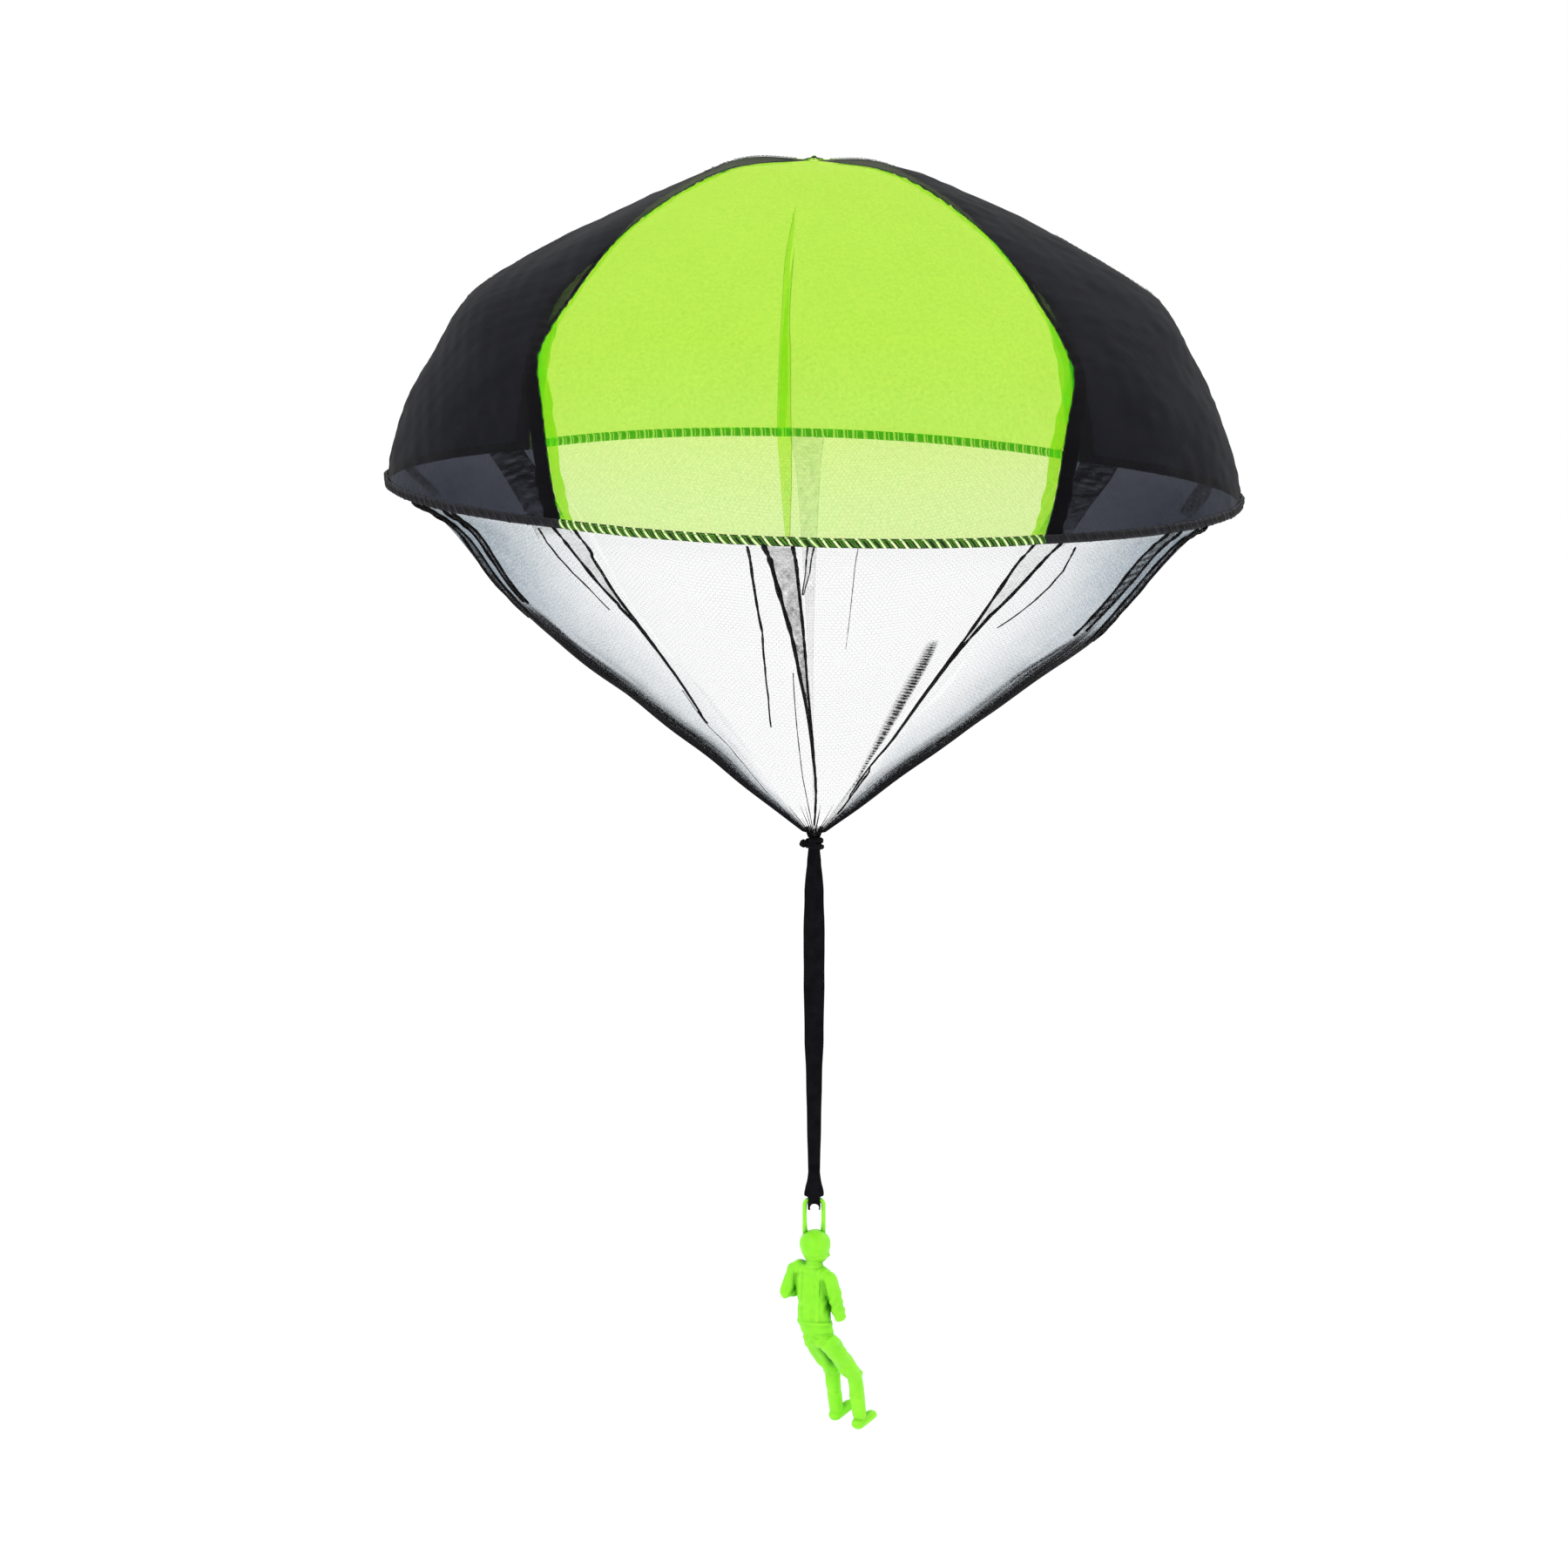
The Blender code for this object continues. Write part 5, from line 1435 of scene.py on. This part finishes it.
BODY_SHAPES = (
    # head and helmet
    ((0.6, 0.2, 6.6), (7.3, 7.2, 6.5), (0.8, 0.8, 10.4), (6.6, 6.6, 6.6)),
    # neck and collar
    ((0.6, 0.0, 14.0), (3.9, 3.8, 3.0), (0.2, 0.0, 19.0), (4.4, 4.0, 3.0)),
    # shoulders and chest
    ((-7.4, 0.0, 19.2), (4.0, 4.3, 4.0), (5.4, 0.0, 21.8), (4.0, 4.3, 3.8)),
    ((-0.8, 0.2, 24.0), (8.8, 5.6, 5.4), (0.0, 0.0, 34.0), (8.4, 5.9, 5.6)),
    # jacket down to its hem
    ((0.2, 0.0, 34.0), (8.6, 5.8, 5.4), (0.6, 0.0, 44.0), (8.8, 5.6, 4.4)),
    ((0.6, 0.0, 44.5), (8.8, 5.7, 3.2), (2.2, 0.4, 49.6), (8.8, 5.9, 2.8)),
    # hips
    ((1.0, 0.4, 51.5), (6.4, 5.6, 4.6), (5.6, 0.4, 53.5), (6.2, 5.6, 4.6)),
    # left arm, bent with the hand at the chest
    ((-10.6, 0.0, 20.6), (3.6, 3.6, 3.6), (-14.4, -1.0, 32.4), (3.0, 3.1, 3.0)),
    ((-14.4, -1.0, 32.4), (3.0, 3.1, 3.0), (-6.2, 7.6, 29.4), (2.4, 2.4, 2.4)),
    ((-6.2, 7.6, 29.4), (2.5, 2.5, 2.5), (-3.8, 8.2, 28.0), (2.4, 2.3, 2.6)),
    # right arm
    ((8.8, 0.0, 23.4), (3.7, 3.7, 3.7), (15.4, -1.4, 40.2), (3.1, 3.2, 3.1)),
    ((15.4, -1.4, 40.2), (3.1, 3.2, 3.1), (6.4, 7.8, 35.0), (2.4, 2.4, 2.4)),
    ((6.4, 7.8, 35.0), (2.5, 2.5, 2.5), (4.0, 8.4, 33.4), (2.4, 2.3, 2.6)),
    # left leg
    ((0.4, 0.4, 54.0), (5.0, 5.2, 4.9), (2.4, 15.4, 72.0), (3.9, 4.0, 3.8)),
    ((2.4, 15.4, 72.0), (3.9, 4.0, 3.8), (3.0, 19.0, 92.0), (3.1, 3.2, 2.9)),
    ((2.8, 18.6, 94.8), (3.1, 3.4, 2.7), (6.2, 26.6, 91.0), (2.8, 3.0, 2.2)),
    # right leg
    ((8.8, 0.4, 55.0), (5.0, 5.2, 4.9), (15.6, 13.8, 73.0), (4.0, 4.0, 3.9)),
    ((15.6, 13.8, 73.0), (4.0, 4.0, 3.9), (16.8, 17.0, 93.0), (3.1, 3.2, 2.9)),
    ((16.4, 16.6, 97.2), (3.1, 3.4, 2.7), (19.0, 24.6, 94.2), (2.8, 3.0, 2.2)),
    # brow and nose of the plain face
    ((-1.8, 6.5, 8.2), (1.2, 0.8, 0.6), (3.0, 6.5, 8.2), (1.2, 0.8, 0.6)),
    ((0.7, 7.0, 9.6), (0.6, 0.7, 0.8), (0.7, 7.7, 11.2), (0.9, 0.8, 0.7)),
)

# Smaller shapes on the body: ears of the helmet, its chin strap, eyes, mouth and fingers

DETAIL_SHAPES = (
    ((-5.2, 0.2, 8.6), (1.2, 1.9, 2.2), (-5.0, 0.4, 10.4), (1.1, 1.7, 2.0)),
    ((6.4, 0.2, 8.6), (1.2, 1.9, 2.2), (6.3, 0.4, 10.4), (1.1, 1.7, 2.0)),
    ((-5.3, 2.5, 12.2), (0.8, 0.8, 0.8), (-0.5, 5.2, 15.3), (0.8, 0.7, 0.7)),
    ((6.9, 2.5, 12.2), (0.8, 0.8, 0.8), (2.1, 5.2, 15.3), (0.8, 0.7, 0.7)),
    ((-0.6, 6.35, 13.7), (0.8, 0.55, 0.35), (2.0, 6.35, 13.7), (0.8, 0.55, 0.35)),
    ((-1.9, 6.8, 9.6), (0.8, 0.6, 0.45), (-1.5, 6.8, 9.6), (0.8, 0.6, 0.45)),
    ((2.9, 6.8, 9.6), (0.8, 0.6, 0.45), (3.3, 6.8, 9.6), (0.8, 0.6, 0.45)),
    ((-4.6, 9.6, 27.4), (0.8, 0.9, 1.3), (-3.6, 10.2, 29.6), (0.8, 0.8, 1.0)),
    ((-2.8, 9.4, 27.0), (0.8, 0.9, 1.2), (-2.2, 10.0, 29.2), (0.7, 0.8, 1.0)),
    ((4.8, 9.8, 32.2), (0.8, 0.9, 1.3), (3.8, 10.4, 34.4), (0.8, 0.8, 1.0)),
    ((2.8, 9.8, 31.8), (0.8, 0.9, 1.2), (2.2, 10.2, 34.0), (0.7, 0.8, 1.0)),
)
FIGURE_VOXEL = 0.00032
FIGURE_UNIT = FIGURE_HEIGHT / 100


def ball_points():
    mesh = bmesh.new()
    bmesh.ops.create_icosphere(mesh, subdivisions=3, radius=1.0)
    points = [vert.co.copy() for vert in mesh.verts]
    mesh.free()
    return points


def blob(ball, first, first_radii, second, second_radii):
    """The hull of two round ends, which makes a limb that swells or tapers."""
    mesh = bmesh.new()
    for (right, forward, down), radii in ((first, first_radii), (second, second_radii)):
        centre = Vector((right, forward, -down))
        for point in ball:
            mesh.verts.new((centre + point * Vector(radii)) * FIGURE_UNIT)
    hull = bmesh.ops.convex_hull(mesh, input=mesh.verts)
    inside = [item for item in hull["geom_interior"] if isinstance(item, bmesh.types.BMVert)]
    bmesh.ops.delete(mesh, geom=inside, context="VERTS")
    return mesh


def between(value, low, high, soft):
    """1 from low to high, and 0 further than soft outside them."""
    return ramp(value, low - soft, low) * (1 - ramp(value, high, high + soft))


def line_at(value, half_width):
    """1 on a line and soft to its sides."""
    return np.exp(-((value / half_width) ** 2))


def clothing(points):
    """Raised helmet, collar, harness, belt, pockets and boots, and the folds of soft cloth."""
    right, forward, down = (points / FIGURE_UNIT * (1, 1, -1)).T
    on_body = np.abs(right - 0.5) < 9.4
    helmet = 1 - ramp(down - (7.2 + 0.42 * (7.2 - forward)), -0.25, 0.25)
    helmet_rib = line_at(right - 0.7, 0.7) * (1 - ramp(down, 6.4, 6.9))
    collar = between(down, 16.9, 18.3, 0.3) * (np.abs(right - 0.4) < 5.6)
    strap = between(np.abs(right + 0.2), 3.9, 5.5, 0.28) * between(down, 18.6, 44.0, 0.4)
    strap = strap * (np.abs(forward) > 2.4)
    cross = between(down, 38.4, 39.8, 0.28) * (np.abs(right) < 4.4) * (forward > 2.4)
    belt = between(down, 44.6, 46.2, 0.28) * on_body
    pocket = between(np.abs(np.abs(right - 0.9) - 4.4), 0, 2.0, 0.3) * between(down, 47.2, 50.0, 0.3)
    pocket = pocket * (1 + 0.5 * between(down, 47.0, 47.9, 0.2)) * (forward > 2)
    leg_pocket = between(down, 60.5, 67.0, 0.4) * (np.abs(right - 5.5) > 5.2) * (down < 70)
    boots = ramp(down, 84.2, 84.8) + between(down, 83.0, 84.4, 0.3) * 0.8
    raised = helmet + 0.4 * helmet_rib + collar + strap + cross + 1.1 * belt + pocket
    raised = raised + 0.5 * leg_pocket + 0.8 * boots
    body = ramp(down, 19, 23) * (1 - ramp(down, 83, 84))
    folds = waves(points * (1, 1, 0.6), 0.0036, 0.0090, 18, 503) * 0.00024
    run = down * 0.9 + 0.8 * right + 2.0 * waves(points, 0.01, 0.02, 6, 509)
    bends = sum(line_at(down - level, 4.5) for level in (36, 55, 72))
    sleeves = between(np.abs(right), 10.5, 20, 1.0) * (down < 46) * 0.4
    slanting = np.sin(run * 1.2) * 0.00022 * (bends + sleeves)
    closing = line_at(right - 0.2, 0.38) * (forward > 3) * between(down, 20, 50, 0.5)
    hem = line_at(down - 52.0, 0.5) * on_body
    sole = line_at(down - 95.4 + 0.45 * (forward - 18), 0.35) * (down > 88)
    soft = (folds + slanting) * body * (1 - np.clip(strap + belt, 0, 1))
    return soft + 0.00030 * raised - 0.00034 * closing - 0.00028 * hem - 0.00026 * sole


def centre_of_volume(data):
    data.calc_loop_triangles()
    points = np.array([vert.co for vert in data.vertices])
    corners = points[np.array([tri.vertices for tri in data.loop_triangles])]
    volumes = np.linalg.det(corners)
    return Vector(corners.sum(axis=1).T @ volumes / volumes.sum() / 4)


ball = ball_points()
limbs = [blob(ball, *shape) for shape in BODY_SHAPES + DETAIL_SHAPES]
figure = skin("figure_body", limbs, FIGURE_VOXEL, 3, PLASTIC)
displaced(figure, clothing)

# The figure hangs from its ring, so its middle of mass comes under it

turned = Matrix.Rotation(-FIGURE_TURN, 4, "Z")
leaned = Matrix.Rotation(FIGURE_LEAN, 4, "Y")
figure.data.transform(leaned @ Matrix.Translation((0, 0, -RING_HEIGHT)) @ turned)
hanging = centre_of_volume(figure.data)
figure.data.transform(Matrix.Rotation(-math.atan2(hanging.y, -hanging.z), 4, "X"))
figure.data.transform(Matrix.Translation((0, 0, BAR_Z)))

half = RING_WIDTH / 2
foot = -RING_HEIGHT - 0.035 * FIGURE_HEIGHT
low = -RING_HEIGHT * 0.75
side = [(-half * 0.92, foot), (-half * 0.97, (foot + low) / 2), (-half, low), (-half, low * 0.6)]
for turn in np.linspace(0, math.pi / 2, 13):
    corner = (-half + RING_CORNER * (1 - math.cos(turn)), -RING_CORNER * (1 - math.sin(turn)))
    side.append(corner)
line = np.array([(x, 0, z) for x, z in side] + [(-x, 0, z) for x, z in reversed(side)])
thick = RING_WIRE * (1 + 0.25 * ramp(-line[:, 2], RING_HEIGHT * 0.75, RING_HEIGHT * 1.1))
ring = mesh_object("figure_ring", *sweep(line + (0, 0, BAR_Z), thick, (0, 1, 0), 20), PLASTIC)
lay((figure, ring), "figure")
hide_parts("figure")

# Each gore's flat width as cut, with its seam allowances, and the pieces that go with it; worked out
# but not used further

NET_SIDE_ALLOWANCE = 0.036
seam_allowance = 2 * ALLOWANCE[-1][1]
for panel in PANELS:
    sheet, strips, dart, points = canopy_sheets[panel]
    width = max(arc_length(row)[-1] for row in points[:: len(points) // 30]) + seam_allowance
    parts = [strips, dart]
for panel in PANELS:
    sheet, threads = net_sheets[panel]
    points = net_surface(panel, np.linspace(0, 1, 60)[:, None], np.linspace(0, 1, 61)[None])
    width = arc_length(points[0])[-1] + NET_SIDE_ALLOWANCE
    parts = [threads]

# The studio: a pale floor, even white surroundings and two soft lamps

FLOOR_Z = -0.75
scene = bpy.context.scene
painted, tree, place = new_material("pale_floor")
tone = mottled(tree, place, 0.8, 0.0, 1.0)
paint = two_colours(tree, tone, (0.955, 0.955, 0.955), (0.97, 0.97, 0.97))
finished(painted, principled(tree, paint, 0.9, 0.1))
corners = [(-30, -12, FLOOR_Z), (30, -12, FLOOR_Z), (30, 60, FLOOR_Z), (-30, 60, FLOOR_Z)]
floor = mesh_object("floor", corners, [[0, 1, 2, 3]], painted, smooth=False)

world = bpy.data.worlds.new("studio")
scene.world = world
world.use_nodes = True
world.node_tree.nodes["Background"].inputs["Color"].default_value = (1.0, 1.0, 1.0, 1.0)
world.node_tree.nodes["Background"].inputs["Strength"].default_value = 1.05


def aimed(obj, place, aim):
    obj.location = place
    obj.rotation_euler = (Vector(aim) - Vector(place)).to_track_quat("-Z", "Y").to_euler()


def lamp(name, place, aim, size, power):
    data = bpy.data.lights.new(name, "AREA")
    data.shape = "DISK"
    data.size = size
    data.energy = power
    aimed(linked(name, data), place, aim)


lamp("key", (-1.3, -1.9, 1.7), (0, 0, -0.15), 1.6, 14.0)
lamp("rim", (1.6, 1.2, 1.2), (0, 0, -0.10), 1.2, 7.0)

# The camera, where the photo was taken from

CAMERA_AIM = Vector((0, 0, -0.282))
CAMERA_RISE = math.radians(10.3245)
CAMERA_DISTANCE = 3.0
camera_data = bpy.data.cameras.new("camera")
camera = linked("camera", camera_data)
away = Vector((0, -math.cos(CAMERA_RISE), math.sin(CAMERA_RISE)))
aimed(camera, CAMERA_AIM + CAMERA_DISTANCE * away, CAMERA_AIM)
camera_data.sensor_width = 36.0
camera_data.lens = 155.575
camera_data.shift_x = -0.01917
camera_data.shift_y = 0.00518
camera_data.clip_start = 0.05
camera_data.clip_end = 200.0
scene.camera = camera
scene.view_settings.view_transform = "Standard"
scene.view_settings.look = "None"
scene.view_settings.exposure = 0.0
scene.view_settings.gamma = 1.0
